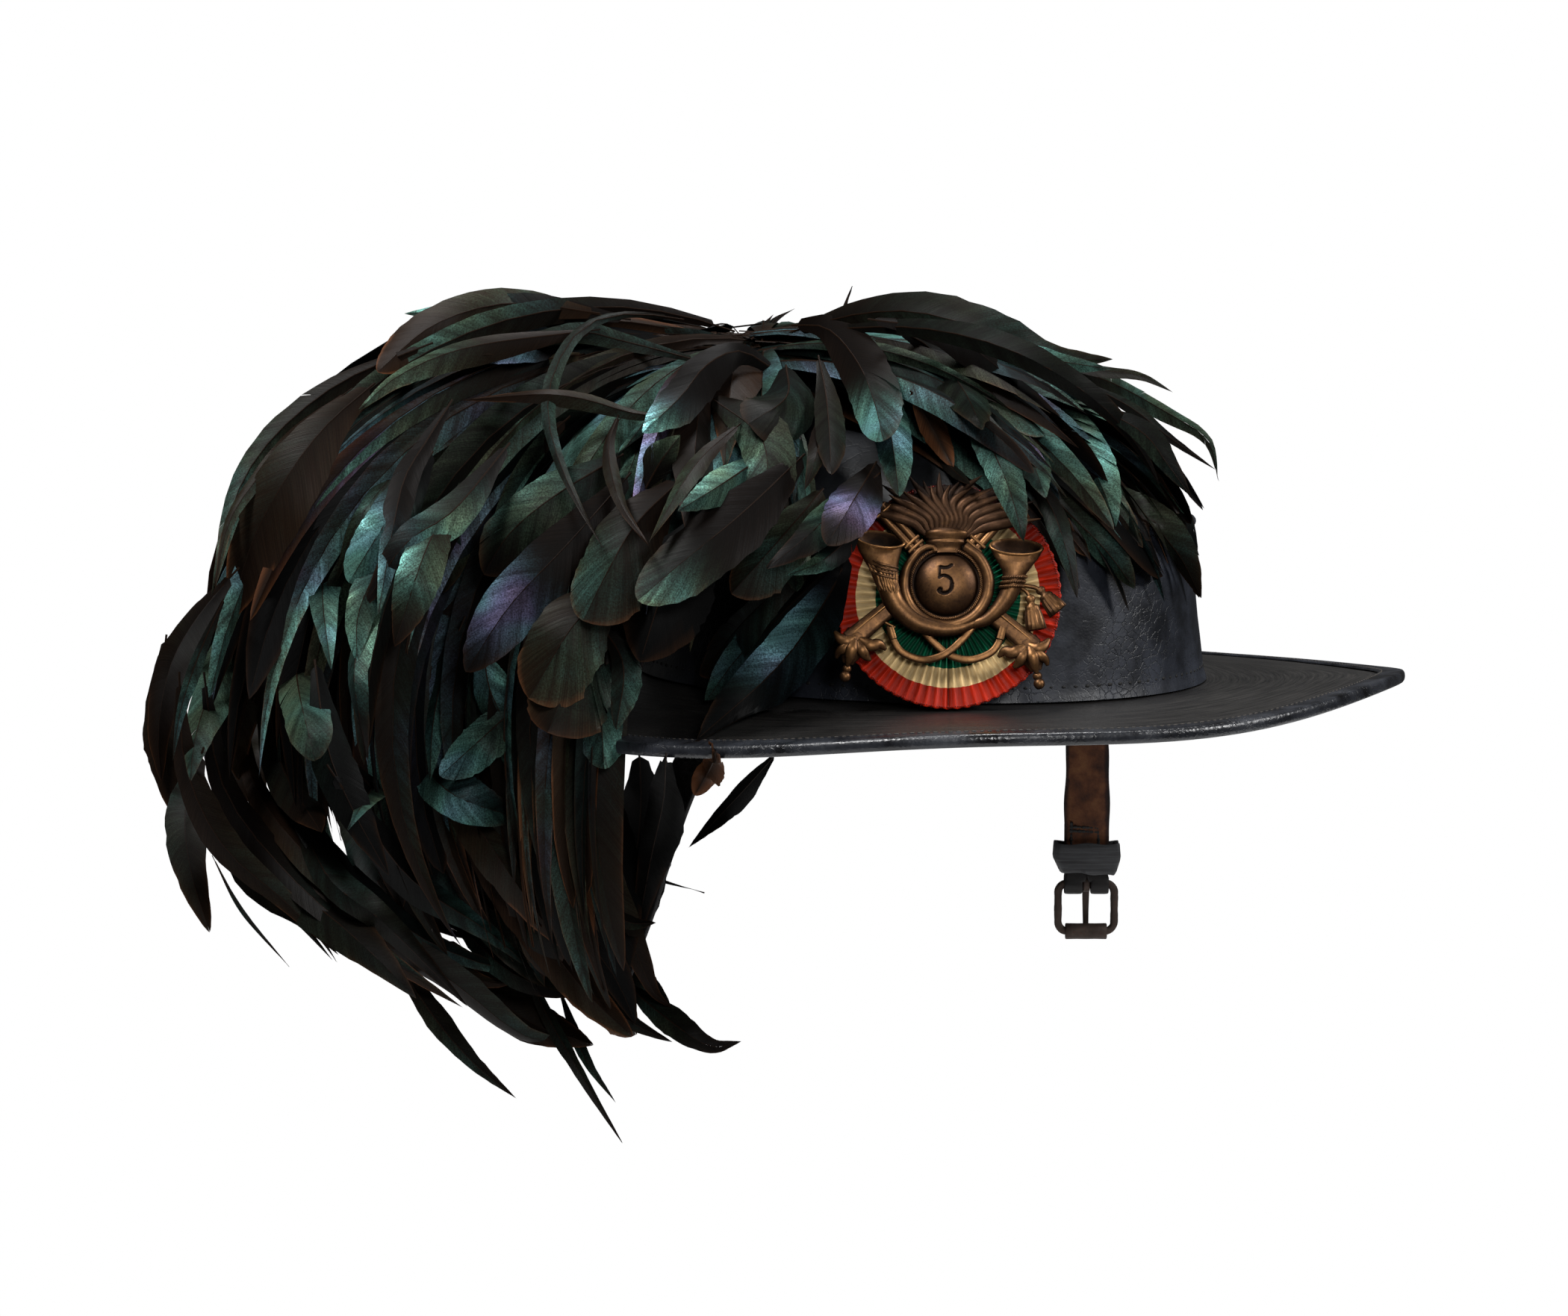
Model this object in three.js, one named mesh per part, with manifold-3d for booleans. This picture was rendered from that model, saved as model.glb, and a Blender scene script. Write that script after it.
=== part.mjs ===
// A plumed felt and leather light infantry hat: a low domed crown on a wide drooping brim, a side band,
// a stitched edge binding, a pleated three-colour cockade under a cast brass badge, a fountain of long
// cock feathers on the wearer's right, and the two unfastened halves of a chin strap.
//
// Millimetres. The origin is the middle of the head opening, level with the top of the brim.
// +Z is up, -Y is the hat's front and +X is the wearer's left. Azimuths turn from +X towards +Y.

import * as THREE from "three";
import { mergeVertices } from "three/addons/utils/BufferGeometryUtils.js";
import Module from "manifold-3d";

const wasm = await Module();
wasm.setup();

// Driving dimensions of the hat body

const ROUND = 36; // facets round the hat
const GAP = 0.3; // between leather layers that lie on each other
const FOOT = { a: 86, b: 101.6 }; // half width and half length of the side band at the brim
const BAND = { top: 52.5, foot: 0.6, flare: 1.3, flareTop: 4, lean: 4, lip: 1.2, wall: 1.6 };
const CROWN = { wall: 2.4, spring: 50, dome: 43, power: 2.1, bottom: -1.6 };
const BRIM = { a: 147.8, b: 165.7, wall: 1.6, curve: 1.25 };
const BINDING = { wall: 0.7, width: 8.5 };
// Height of the brim's edge round the hat: its mean, and the cosine and sine of each wave from 1 to 6.
const EDGE_MEAN = -4.9;
const EDGE_WAVES = [
  [3.59, -2.89],
  [-3.55, -0.27],
  [-1.41, -0.9],
  [-0.37, 0.13],
  [-0.03, 0.77],
  [0.43, -0.67],
];

// Badge and cockade

const COCKADE_TURN = 38; // degrees from the hat's front towards the wearer's right
const COCKADE = { radius: 34.4, pleats: 48, depth: 1.3, base: 2.2, hub: 9, bowl: 1.2, lean: 14 };
const COCKADE_AT = { side: 6.1, out: 96.9, high: 33.2 }; // its middle, seen straight on
const BADGE_AT = { side: -0.6, up: 3.2 }; // the ball's middle from the cockade's
const BADGE_STAND = 0.4; // between the pleats and the back of the badge
const PLATE = 1.6; // thickness of the badge's flat parts

// Chin strap

const STRAP = { width: 15, wall: 1.8, stand: 2.2 }; // stand: the flat strap's middle off the curved wall
const BUCKLE = { width: 21.4, height: 16.5, wire: 2.4, corner: 3.4, prong: 2.2, roller: 2.7 };

// Small helpers

const radians = THREE.MathUtils.degToRad;

// A geometry's triangles as a solid.
function solidOf(geometry) {
  const bare = geometry.clone();
  for (const name of Object.keys(bare.attributes)) if (name !== "position") bare.deleteAttribute(name);
  const merged = mergeVertices(bare, 1e-4);
  const solid = new wasm.Manifold(
    new wasm.Mesh({
      numProp: 3,
      vertProperties: merged.attributes.position.array,
      triVerts: new Uint32Array(merged.index.array),
    }),
  );
  return solid;
}

// A solid's triangles as a geometry.
function geometryOf(solid) {
  const mesh = solid.getMesh();
  const geometry = new THREE.BufferGeometry();
  geometry.setAttribute("position", new THREE.BufferAttribute(mesh.vertProperties, 3));
  geometry.setIndex(new THREE.BufferAttribute(mesh.triVerts, 1));
  return geometry;
}

// Moves every vertex of a geometry to where `place` puts it.
function mapped(geometry, place) {
  const position = geometry.attributes.position;
  const point = new THREE.Vector3();
  for (let i = 0; i < position.count; i++) {
    point.fromBufferAttribute(position, i);
    place(point);
    position.setXYZ(i, point.x, point.y, point.z);
  }
  return geometry;
}

// A profile of [out, up] pairs turned round the Z axis, then mapped by `place(angle, out, up)` to a point.
function turned(profile, place, facets = ROUND) {
  const lathe = new THREE.LatheGeometry(
    profile.map(([out, up]) => new THREE.Vector2(out, up)),
    facets,
  );
  return mapped(lathe, (p) => {
    const out = Math.hypot(p.x, p.z);
    p.copy(place(Math.atan2(-p.z, p.x), out, p.y));
  });
}

// A shape given a thickness, square-edged.
const extruded = (shape, depth, curveSegments = 4) =>
  new THREE.ExtrudeGeometry(shape, { depth, bevelEnabled: false, curveSegments });

// A rod of `sides` corners bent along a path: `frame(s)` gives the middle, the two half widths across and
// their directions at a share s of its length.
function bentRod(frame, steps, sides = 4) {
  const rod = new THREE.CylinderGeometry(1, 1, 1, sides, steps);
  return mapped(rod, (p) => {
    const f = frame(0.5 - p.y);
    const [x, z] = [p.x, p.z];
    p.copy(f.middle).addScaledVector(f.across, x * f.halfWidth).addScaledVector(f.through, z * f.halfDepth);
  });
}

// A flat strap or bar of rectangular section through a table of stations.
function strapSolid(stations, steps) {
  const path = new THREE.CatmullRomCurve3(stations.map((s) => s.middle), false, "centripetal");
  const box = new THREE.BoxGeometry(1, 1, 1, 1, 1, steps);
  const last = stations.length - 1;
  return mapped(box, (p) => {
    const share = p.z + 0.5;
    const [x, y] = [p.x, p.y];
    const k = Math.min(last - 1, Math.floor(share * last));
    const mix = share * last - k;
    const value = (name) => stations[k][name] * (1 - mix) + stations[k + 1][name] * mix;
    const across = stations[k].across.clone().lerp(stations[k + 1].across, mix).normalize();
    const along = path.getTangent(share);
    const through = new THREE.Vector3().crossVectors(along, across).normalize();
    across.crossVectors(through, along).normalize();
    p.copy(path.getPoint(share));
    p.addScaledVector(across, x * value("width")).addScaledVector(through, y * value("wall"));
  });
}

const vector = (x, y, z) => new THREE.Vector3(x, y, z);

// Outline of the hat body

// How far the side band's outside lies inside the foot ellipse at height z.
function bandInset(z) {
  const straight = BAND.flare + (BAND.lean * (z - BAND.flareTop)) / (CROWN.spring - BAND.flareTop);
  return z < BAND.flareTop ? (BAND.flare * Math.max(z, 0)) / BAND.flareTop : straight;
}

// How far the crown's outside lies inside the foot ellipse at height z, up to where the dome springs.
const crownInset = (z) => bandInset(Math.max(z, BAND.flareTop)) + BAND.wall + GAP;

// A point on the crown's outside, or on its inside where `wall` is given.
function crownPoint(angle, z, wall = 0) {
  const spring = CROWN.spring;
  const inset = crownInset(Math.min(z, spring)) + wall;
  const rise = Math.max(0, z - spring) / (CROWN.dome - wall);
  const share = (1 - Math.min(1, rise) ** CROWN.power) ** (1 / CROWN.power);
  return vector((FOOT.a - inset) * share * Math.cos(angle), (FOOT.b - inset) * share * Math.sin(angle), z);
}

// Height of the middle of the brim's wall at its edge.
function edgeHeight(angle) {
  const wave = ([c, s], k) => c * Math.cos((k + 1) * angle) + s * Math.sin((k + 1) * angle);
  return EDGE_WAVES.reduce((height, pair, k) => height + wave(pair, k), EDGE_MEAN);
}

const BRIM_HOLE = crownInset(0) - GAP; // inset of the hole's edge
const BRIM_TRIM = BINDING.wall + GAP; // the plate ends this far inside the finished edge

// The middle of the brim's wall, at a share q of the way from the crown to the finished edge.
function brimPoint(angle, q) {
  const a = THREE.MathUtils.lerp(FOOT.a - BRIM_HOLE, BRIM.a, q);
  const b = THREE.MathUtils.lerp(FOOT.b - BRIM_HOLE, BRIM.b, q);
  const z = -BRIM.wall / 2 + (edgeHeight(angle) + BRIM.wall / 2) * Math.max(q, 0) ** BRIM.curve;
  return vector(a * Math.cos(angle), b * Math.sin(angle), z);
}

const BRIM_SPAN = (BRIM.a + BRIM.b - FOOT.a - FOOT.b) / 2 + BRIM_HOLE;

// Hat body

const DOME_STATIONS = [0, 0.34, 0.6, 0.8, 0.92, 0.98, 1]; // shares of the dome's height

function makeCrown() {
  const outside = [CROWN.bottom, 25, ...DOME_STATIONS.map((s) => CROWN.spring + CROWN.dome * s)];
  const innerDome = CROWN.dome - CROWN.wall;
  const inside = [CROWN.bottom, 25, ...DOME_STATIONS.map((s) => CROWN.spring + innerDome * s)];
  // The lathe only carries which wall and which height a point belongs to; `place` gives its real spot.
  const profile = [
    ...inside.map((z, i) => [i === inside.length - 1 ? 0 : 1, z]).reverse(),
    ...outside.map((z, i) => [i === outside.length - 1 ? 0 : 2, z]),
  ];
  return turned(profile, (angle, out, z) => {
    if (out < 0.5) return vector(0, 0, z);
    return crownPoint(angle, z, out > 1.5 ? 0 : CROWN.wall);
  });
}

function makeSideBand() {
  const outer = (z) => [FOOT.a - bandInset(z), z];
  const inner = (z) => [FOOT.a - bandInset(Math.max(z, BAND.flareTop)) - BAND.wall, z];
  const lipUnder = BAND.top - 3;
  const [lipOut] = outer(lipUnder);
  const profile = [
    inner(BAND.foot),
    outer(BAND.foot),
    outer(BAND.flareTop),
    outer(lipUnder),
    [lipOut + BAND.lip, BAND.top - 1.4],
    [lipOut + BAND.lip - 0.5, BAND.top],
    inner(BAND.top),
    inner(BAND.flareTop),
    inner(BAND.foot),
  ];
  return turned(profile, (angle, out, z) =>
    vector(out * Math.cos(angle), (out + FOOT.b - FOOT.a) * Math.sin(angle), z),
  );
}

// A plate or strip that follows the brim: corners are [share of the way out, height over the wall's middle].
function alongBrim(corners) {
  const base = 10; // keeps the lathe's profile off the axis
  const profile = corners.map(([q, up]) => [base + q, up]);
  return turned(profile, (angle, out, up) => {
    const p = brimPoint(angle, out - base);
    p.z += up;
    return p;
  });
}

function makeBrim() {
  const half = BRIM.wall / 2;
  const end = 1 - BRIM_TRIM / BRIM_SPAN;
  const stations = [0, 0.35, 0.7, end];
  const corners = [
    ...stations.map((q) => [q, -half]),
    ...stations.map((q) => [q, half]).reverse(),
  ];
  return alongBrim([...corners, corners[0]]);
}

function makeBinding() {
  const half = BRIM.wall / 2 + GAP;
  const out = half + BINDING.wall;
  const start = 1 - BINDING.width / BRIM_SPAN;
  const inEnd = 1 - BINDING.wall / BRIM_SPAN;
  const corners = [
    [start, -out],
    [inEnd - 0.004, -out],
    [1, -out * 0.45],
    [1, out * 0.45],
    [inEnd - 0.004, out],
    [start, out],
    [start, half],
    [inEnd, half],
    [inEnd, -half],
    [start, -half],
  ];
  return alongBrim([...corners, corners[0]]);
}

// Cockade: a round of pleated ribbon, in its own plane with +Z out of the hat

function makeCockade() {
  const { radius, pleats, depth, base, hub, bowl } = COCKADE;
  const profile = [
    [0, 0],
    [radius - 0.6, 0],
    [radius, 0.7],
    [radius, base],
    [radius * 0.62, base],
    [hub, base],
    [0, base],
  ];
  return turned(
    profile,
    (angle, out, z) => {
      const deep = out > hub && z >= base ? Math.min(1, out / radius + 0.2) : 0;
      const fold = (depth / 2) * deep * Math.cos(pleats * angle);
      const proud = z > 0 ? bowl * (out / radius) ** 2 : 0;
      return vector(out * Math.cos(angle), out * Math.sin(angle), z + fold + proud);
    },
    pleats * 2,
  );
}

// Badge: one casting, drawn about the middle of the grenade with +Z out of the hat

const BALL = { radius: 10.1, high: 5.2 };
const HORN_RING = { radius: 13.2, tube: 1.7 };

// A round bar along points of the badge's face, as thick as `size(share)` says.
function badgeBar(points, size, steps = 10, sides = 6, flat = 0.8) {
  const curve = new THREE.CatmullRomCurve3(points.map(([x, y, z]) => vector(x, y, z)));
  const up = vector(0, 0, 1);
  return solidOf(
    bentRod(
      (s) => {
        const along = curve.getTangentAt(s);
        const across = new THREE.Vector3().crossVectors(up, along).normalize();
        const through = new THREE.Vector3().crossVectors(along, across).normalize();
        const half = size(s);
        return { middle: curve.getPointAt(s), across, through, halfWidth: half, halfDepth: half * flat };
      },
      steps,
      sides,
    ),
  );
}

// A plate cut to an outline of [x, y] corners.
function badgePlate(outline, thick, z = 0) {
  const shape = new THREE.Shape(outline.map(([x, y]) => new THREE.Vector2(x, y)));
  return solidOf(extruded(shape, thick).translate(0, 0, z));
}

const mirrored = (points) => points.map(([x, ...rest]) => [-x, ...rest]);

// The tongues of fire: where each leaves the collar, how far it leans out, how high it goes over the
// ball's middle and which way it curls first.
const TONGUES = [
  { root: -5.6, lean: -13, high: 25, curl: 2.4 },
  { root: -4.4, lean: -9.5, high: 31, curl: -2.2 },
  { root: -3.0, lean: -5.5, high: 33, curl: 2.2 },
  { root: -0.6, lean: 0.6, high: 34.5, curl: -2.0 },
  { root: 2.2, lean: 7, high: 33, curl: -2.2 },
  { root: 3.8, lean: 11.5, high: 30.5, curl: 2.2 },
  { root: 5.4, lean: 16, high: 25.5, curl: -2.4 },
];

function flames() {
  const base = 15.5; // height of the collar's top over the ball's middle
  const girth = (s) => 1.5 + 0.9 * Math.sin(Math.PI * s) - 0.9 * s;
  return TONGUES.map(({ root, lean, high, curl }) => {
    const at = (share, push) => [
      root + lean * share ** 1.3 + push,
      base + (high - base) * share,
      1.6 + 1.3 * share,
    ];
    return badgeBar([at(0, 0), at(0.35, curl), at(0.7, -0.8 * curl), at(1, 0.5 * curl)], girth, 5, 4);
  });
}

function grenade() {
  const foot = 0.2; // the ball's flat back, over the badge's own
  const arc = [0, 25, 50, 70].map((degrees) => {
    const t = radians(degrees);
    return new THREE.Vector2(BALL.radius * Math.cos(t), foot + (BALL.high - foot) * Math.sin(t));
  });
  const half = [new THREE.Vector2(0, foot), ...arc, new THREE.Vector2(0, BALL.high)];
  const dome = new THREE.LatheGeometry(half, 16).rotateX(Math.PI / 2);
  const collar = [
    [-6.4, 13.2],
    [6.4, 13.2],
    [6.9, 14.4],
    [6.4, 16],
    [-6.4, 16],
    [-6.9, 14.4],
  ];
  const neck = [
    [-5.6, 7],
    [5.6, 7],
    [4.6, 13.6],
    [-4.6, 13.6],
  ];
  const disc = new THREE.CylinderGeometry(HORN_RING.radius, HORN_RING.radius, PLATE, 20).rotateX(Math.PI / 2);
  const fireBack = [
    [-5, 14],
    [5, 14],
    [19, 25],
    [10, 31],
    [0, 33],
    [-10, 30],
    [-19, 24],
  ];
  return [
    solidOf(disc.translate(0, 0, PLATE / 2)),
    solidOf(dome),
    badgePlate(neck, 3.6),
    badgePlate(collar, 4.6),
    badgePlate(fireBack, PLATE),
  ];
}

function horns() {
  const tube = HORN_RING.tube;
  const ringPoint = (degrees, radius = HORN_RING.radius) => [
    radius * Math.cos(radians(degrees)),
    radius * Math.sin(radians(degrees)),
    2.2,
  ];
  const loop = badgeBar(
    [118, 150, 180, 215, 250, 290, 325, 0, 30, 62].map((d) => ringPoint(d)),
    () => tube,
    15,
    5,
  );
  const bell = (points, mouth) => {
    const body = badgeBar(points, (s) => 1.6 + (mouth.half - 2.6) * s ** 2.2, 6, 6, 0.75);
    const lip = new THREE.CylinderGeometry(mouth.half, mouth.half - 1, 2.2, 12);
    mapped(lip, (p) => {
      p.set(p.x + mouth.x, p.y * 0.8 + p.z * 0.28 + mouth.y, p.z * 0.42 + 2.6);
      p.z = Math.max(p.z, 0.2);
    });
    return [body, solidOf(lip)];
  };
  const left = bell(
    [
      [8.5, -12.6, 2.6],
      [0, -15.4, 2.8],
      [-9, -13, 2.9],
      [-16.5, -6, 2.9],
      [-19.4, 3, 2.9],
      [-20.3, 11, 2.9],
    ],
    { x: -20.6, y: 12.6, half: 7.4 },
  );
  const right = bell(
    [
      [7, -13.6, 2.2],
      [12.5, -11.5, 2.4],
      [17.5, -7, 2.7],
      [20.3, 0, 2.9],
      [21.4, 9.5, 2.9],
    ],
    { x: 21.6, y: 11, half: 7.6 },
  );
  const lace = [
    [-16.4, -13.6, 1.4],
    [-14.6, -18.6, 1.6],
    [-11, -22.4, 1.8],
    [-5.5, -23.8, 1.8],
    [0, -21.6, 2.2],
    [4.5, -17.6, 2],
    [8, -13.2, 1.6],
  ];
  const laces = [lace, mirrored(lace)].map((points) => badgeBar(points, () => 1.05, 8, 4));
  return [loop, ...left, ...right, ...laces];
}

function crossedArms() {
  // Barrel, stock and hilt of the arm that runs from the upper left to the lower right.
  const arm = [
    badgePlate(
      [
        [-21.5, 22.5],
        [-18.5, 25],
        [-6.5, 11],
        [-10, 8.5],
      ],
      2.6,
    ),
    badgePlate(
      [
        [12, -13.5],
        [16.5, -9.5],
        [27.5, -19],
        [26, -23],
        [22, -22],
      ],
      2.6,
    ),
    badgePlate(
      [
        [15.6, -23.4],
        [19.5, -20.6],
        [24.5, -20],
        [28.5, -17.2],
        [31, -18.8],
        [29.4, -22],
        [29, -28.5],
        [25.4, -30],
        [22, -25.4],
        [17, -25.6],
      ],
      3.2,
    ),
    badgeBar(
      [
        [26.5, -27, 2],
        [28, -30.4, 2],
        [28.8, -33, 2],
      ],
      (s) => 1.9 - 0.8 * Math.sin(Math.PI * Math.min(1, s * 1.4)),
      4,
      5,
    ),
  ];
  const flip = (solid) => solid.mirror([1, 0, 0]);
  return [...arm, ...arm.map(flip)];
}

function tassels() {
  const tassel = (top, foot) =>
    badgeBar(
      [
        [...top, 2.4],
        [(top[0] + foot[0]) / 2, (top[1] + foot[1]) / 2, 2.6],
        [...foot, 2.2],
      ],
      (s) => 1.2 + 2.1 * s,
      3,
      5,
      0.7,
    );
  const cord = badgeBar(
    [
      [20.6, 0.6, 2.4],
      [24.4, -1.6, 2.2],
      [28.5, -3, 2.2],
    ],
    () => 1.3,
    5,
    5,
  );
  return [cord, tassel([24.6, -3], [27, -13]), tassel([28, -2.6], [33.4, -7.6])];
}

function makeBadge() {
  const pieces = [...grenade(), ...flames(), ...horns(), ...crossedArms(), ...tassels()];
  const joined = wasm.Manifold.union(pieces);
  // The back is flat: what lies behind the plate's face is cut off.
  const back = new THREE.BoxGeometry(120, 120, 10).translate(0, 0, -4.9);
  return geometryOf(joined.subtract(solidOf(back)));
}

// Plume: locks of feathers fused to a knot on a stem

const KNOT = { middle: vector(-65, 6, 103), size: vector(9, 9, 7) };
const LOCK_STEPS = 5;

// Families of locks, as rows of FAMILY_COLUMNS. `count` locks are spread from azimuth `from` to azimuth
// `to`. A lock climbs at `rise` degrees at the knot and at `fall` at its tip, is `long` by `wide` by
// `deep`, and its azimuth turns by `turn` degrees along it.
const FAMILY_COLUMNS = ["place", "count", "from", "to", "rise", "fall", "long", "wide", "deep", "turn"];
const FAMILIES = [
  ["over the crown's front", 5, -66, 0, 29, -62, 180, 36, 9, 4],
  ["under those", 4, -70, -14, 10, -92, 186, 36, 14, 8],
  ["over the crown's back", 5, 20, 108, 26, -72, 164, 40, 12, 6],
  ["beside the cockade", 4, -134, -96, 6, -92, 140, 34, 16, -6],
  ["over the brim's side", 5, 180, 218, 4, -98, 176, 42, 16, -4],
  ["tail, outer", 5, 120, 164, 28, -118, 325, 46, 14, 0],
  ["tail, middle", 5, 116, 176, 14, -148, 352, 46, 18, 2],
  ["tail, inner", 4, 122, 168, -2, -168, 336, 48, 20, 4],
  ["tail, under the brim", 3, 134, 168, -6, -166, 276, 48, 20, 4],
].map((row) => Object.fromEntries(FAMILY_COLUMNS.map((column, k) => [column, row[k]])));

// The way of one lock: its climb changes along it from `rise` to `fall`.
function lockPath({ azimuth, rise, fall, long, turn }) {
  const points = [KNOT.middle.clone()];
  const steps = LOCK_STEPS * 4;
  for (let i = 0; i < steps; i++) {
    const share = (i + 0.5) / steps;
    const climb = radians(rise + (fall - rise) * share);
    const way = radians(azimuth + turn * share);
    const step = vector(Math.cos(climb) * Math.cos(way), Math.cos(climb) * Math.sin(way), Math.sin(climb));
    points.push(points[i].clone().addScaledVector(step, long / steps));
  }
  return points;
}

function makeLock(lock) {
  const points = lockPath(lock);
  const side = vector(-Math.sin(radians(lock.azimuth)), Math.cos(radians(lock.azimuth)), 0);
  return solidOf(
    bentRod((s) => {
      const k = Math.round(s * (points.length - 1));
      const before = points[Math.max(0, k - 1)];
      const after = points[Math.min(points.length - 1, k + 1)];
      const along = after.clone().sub(before).normalize();
      const through = new THREE.Vector3().crossVectors(along, side).normalize();
      const swell = Math.min(1, 0.35 + 1.6 * s);
      const point = Math.min(1, (1 - s) * 2.4 + 0.05);
      return {
        middle: points[k],
        across: side,
        through,
        halfWidth: (lock.wide / 2) * swell * point,
        halfDepth: (lock.deep / 2) * Math.min(1, 0.45 + s * 2) * point,
      };
    }, LOCK_STEPS),
  );
}

function locksOf(family) {
  return Array.from({ length: family.count }, (_, i) => {
    const share = family.count > 1 ? i / (family.count - 1) : 0.5;
    const azimuth = THREE.MathUtils.lerp(family.from, family.to, share);
    const uneven = i % 2 ? 0.93 : 1; // every other lock is a little shorter
    return makeLock({ ...family, azimuth, long: family.long * uneven });
  });
}

// The space that the plume keeps out of: the crown, band and brim, each a little bigger.
function keepOut() {
  const clear = 0.8;
  const under = -6;
  const dome = DOME_STATIONS.map((s) => CROWN.spring + (CROWN.dome + clear) * s);
  const side = dome.slice(0, -1).map((z) => [1, z]);
  const top = CROWN.spring + CROWN.dome + clear;
  const crown = turned([[0, under], [1, under], ...side, [0, top]], (angle, out, z) =>
    out < 0.5 ? vector(0, 0, z) : crownPoint(angle, z, -clear),
  );
  const foot = FOOT.a + clear;
  const lip = FOOT.a - bandInset(BAND.top) + BAND.lip + clear;
  const band = turned(
    [
      [0, under],
      [foot, under],
      [foot, BAND.flareTop],
      [lip, BAND.top - 3],
      [lip, BAND.top + clear],
      [0, BAND.top + clear],
    ],
    (angle, out, z) => vector(out * Math.cos(angle), (out && out + FOOT.b - FOOT.a) * Math.sin(angle), z),
  );
  const thick = BRIM.wall / 2 + GAP + BINDING.wall + clear;
  const corners = [
    [-0.08, -thick],
    [0.5, -thick],
    [1.03, -thick],
    [1.03, thick],
    [0.5, thick],
    [-0.08, thick],
  ];
  return [crown, band, alongBrim([...corners, corners[0]])].map(solidOf);
}

function makePlume(badgeSpace) {
  const knot = new THREE.SphereGeometry(1, 10, 7);
  knot.scale(KNOT.size.x, KNOT.size.y, KNOT.size.z).translate(KNOT.middle.x, KNOT.middle.y, KNOT.middle.z);
  const across = vector(0, 1, 0);
  const stand = BAND.lip + 1 + 2.5; // the stem's middle stands this far off the band
  const stemAt = (x, z) => ({ middle: vector(x, 6 * (z / 103), z), across, width: 15, wall: 4 });
  const stem = strapSolid(
    [
      stemAt(-(FOOT.a - bandInset(8)) - stand, 8),
      stemAt(-(FOOT.a - bandInset(52)) - stand, 52),
      stemAt(-79, 84),
      stemAt(-67, 101),
    ],
    6,
  );
  const locks = FAMILIES.flatMap(locksOf);
  const fused = wasm.Manifold.union([solidOf(knot), solidOf(stem), ...locks]);
  const cut = fused.subtract(wasm.Manifold.union([...keepOut(), solidOf(longStrap(1)), badgeSpace]));
  const parts = cut.decompose().sort((p, q) => q.volume() - p.volume());
  return geometryOf(parts[0]);
}

// Chin strap

const FACE = { x: Math.cos(radians(COCKADE_TURN)), y: -Math.sin(radians(COCKADE_TURN)) };
const BUCKLE_AT = vector(79.2, 6.6, -78); // middle of the buckle's upper bar

// Heights over the bar: where the doubled end stops, where its two sides meet and where the slot ends.
const FOLD = { doubled: 20, neck: 5.4, slot: 5 };
const BAR_ROUND = BUCKLE.wire * Math.SQRT1_2; // the square bar's corner from its middle

// The buckle hangs in a group whose +X is along its bars, +Y is up and +Z faces the badge's side.
function buckleGroup() {
  const group = new THREE.Group();
  group.position.copy(BUCKLE_AT);
  group.rotation.set(Math.PI / 2, 0, -radians(COCKADE_TURN), "ZXY");
  group.updateMatrixWorld(true);
  return group;
}

// How far out the middle of a strap lies that is sewn to the inside of the crown at height z.
const sewnAt = (z) => FOOT.a - crownInset(z) - CROWN.wall - STRAP.stand - STRAP.wall / 2;

// The strap leaves the crown's inside, turns to face forward as it falls and ends doubled in the buckle.
function makeBuckleStrap() {
  const facing = vector(FACE.x, FACE.y, 0);
  const onWall = vector(0.06, -1, 0);
  const stations = [
    { middle: vector(sewnAt(30), 7.7, 30), across: onWall },
    { middle: vector(sewnAt(8), 7.7, 8), across: onWall },
    { middle: vector(77.9, 7.4, -12), across: vector(0.45, -0.9, 0).normalize() },
    { middle: vector(BUCKLE_AT.x, BUCKLE_AT.y, -32), across: facing },
    { middle: vector(BUCKLE_AT.x, BUCKLE_AT.y, BUCKLE_AT.z + FOLD.doubled - 4), across: facing },
  ].map((s) => ({ ...s, width: STRAP.width, wall: STRAP.wall }));
  const single = solidOf(strapSolid(stations, 12));
  const doubled = foldedEnd().applyMatrix4(buckleGroup().matrixWorld);
  return geometryOf(single.add(solidOf(doubled)));
}

// The doubled end in the buckle's group: down one side of the bar, round it and back up the other, with
// a slot for the prong. Its section lies in the plane of depth and height.
function foldedEnd() {
  const wall = STRAP.wall;
  const inner = BAR_ROUND + GAP;
  const outer = inner + wall;
  const shape = new THREE.Shape();
  shape.moveTo(-wall, FOLD.doubled);
  shape.lineTo(-wall, FOLD.neck);
  shape.lineTo(-outer, 1);
  shape.absarc(0, 0, outer, Math.PI, 2 * Math.PI, false);
  shape.lineTo(outer, 1);
  shape.lineTo(wall, FOLD.neck);
  shape.lineTo(wall, FOLD.doubled);
  const eye = new THREE.Path();
  eye.moveTo(0, FOLD.neck - 1);
  eye.lineTo(-inner, 1);
  eye.absarc(0, 0, inner, Math.PI, 2 * Math.PI, false);
  eye.lineTo(inner, 1);
  shape.holes.push(eye);
  const fold = extruded(shape, STRAP.width, 8);
  fold.rotateY(-Math.PI / 2).translate(STRAP.width / 2, 0, 0); // the shape's x is now the group's z
  const slotHeight = outer + FOLD.slot + 1;
  const slot = new THREE.BoxGeometry(BUCKLE.prong + 1.6, slotHeight, 4 * outer);
  slot.translate(0, FOLD.slot - slotHeight / 2, 0);
  return geometryOf(solidOf(fold).subtract(solidOf(slot)));
}

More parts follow.
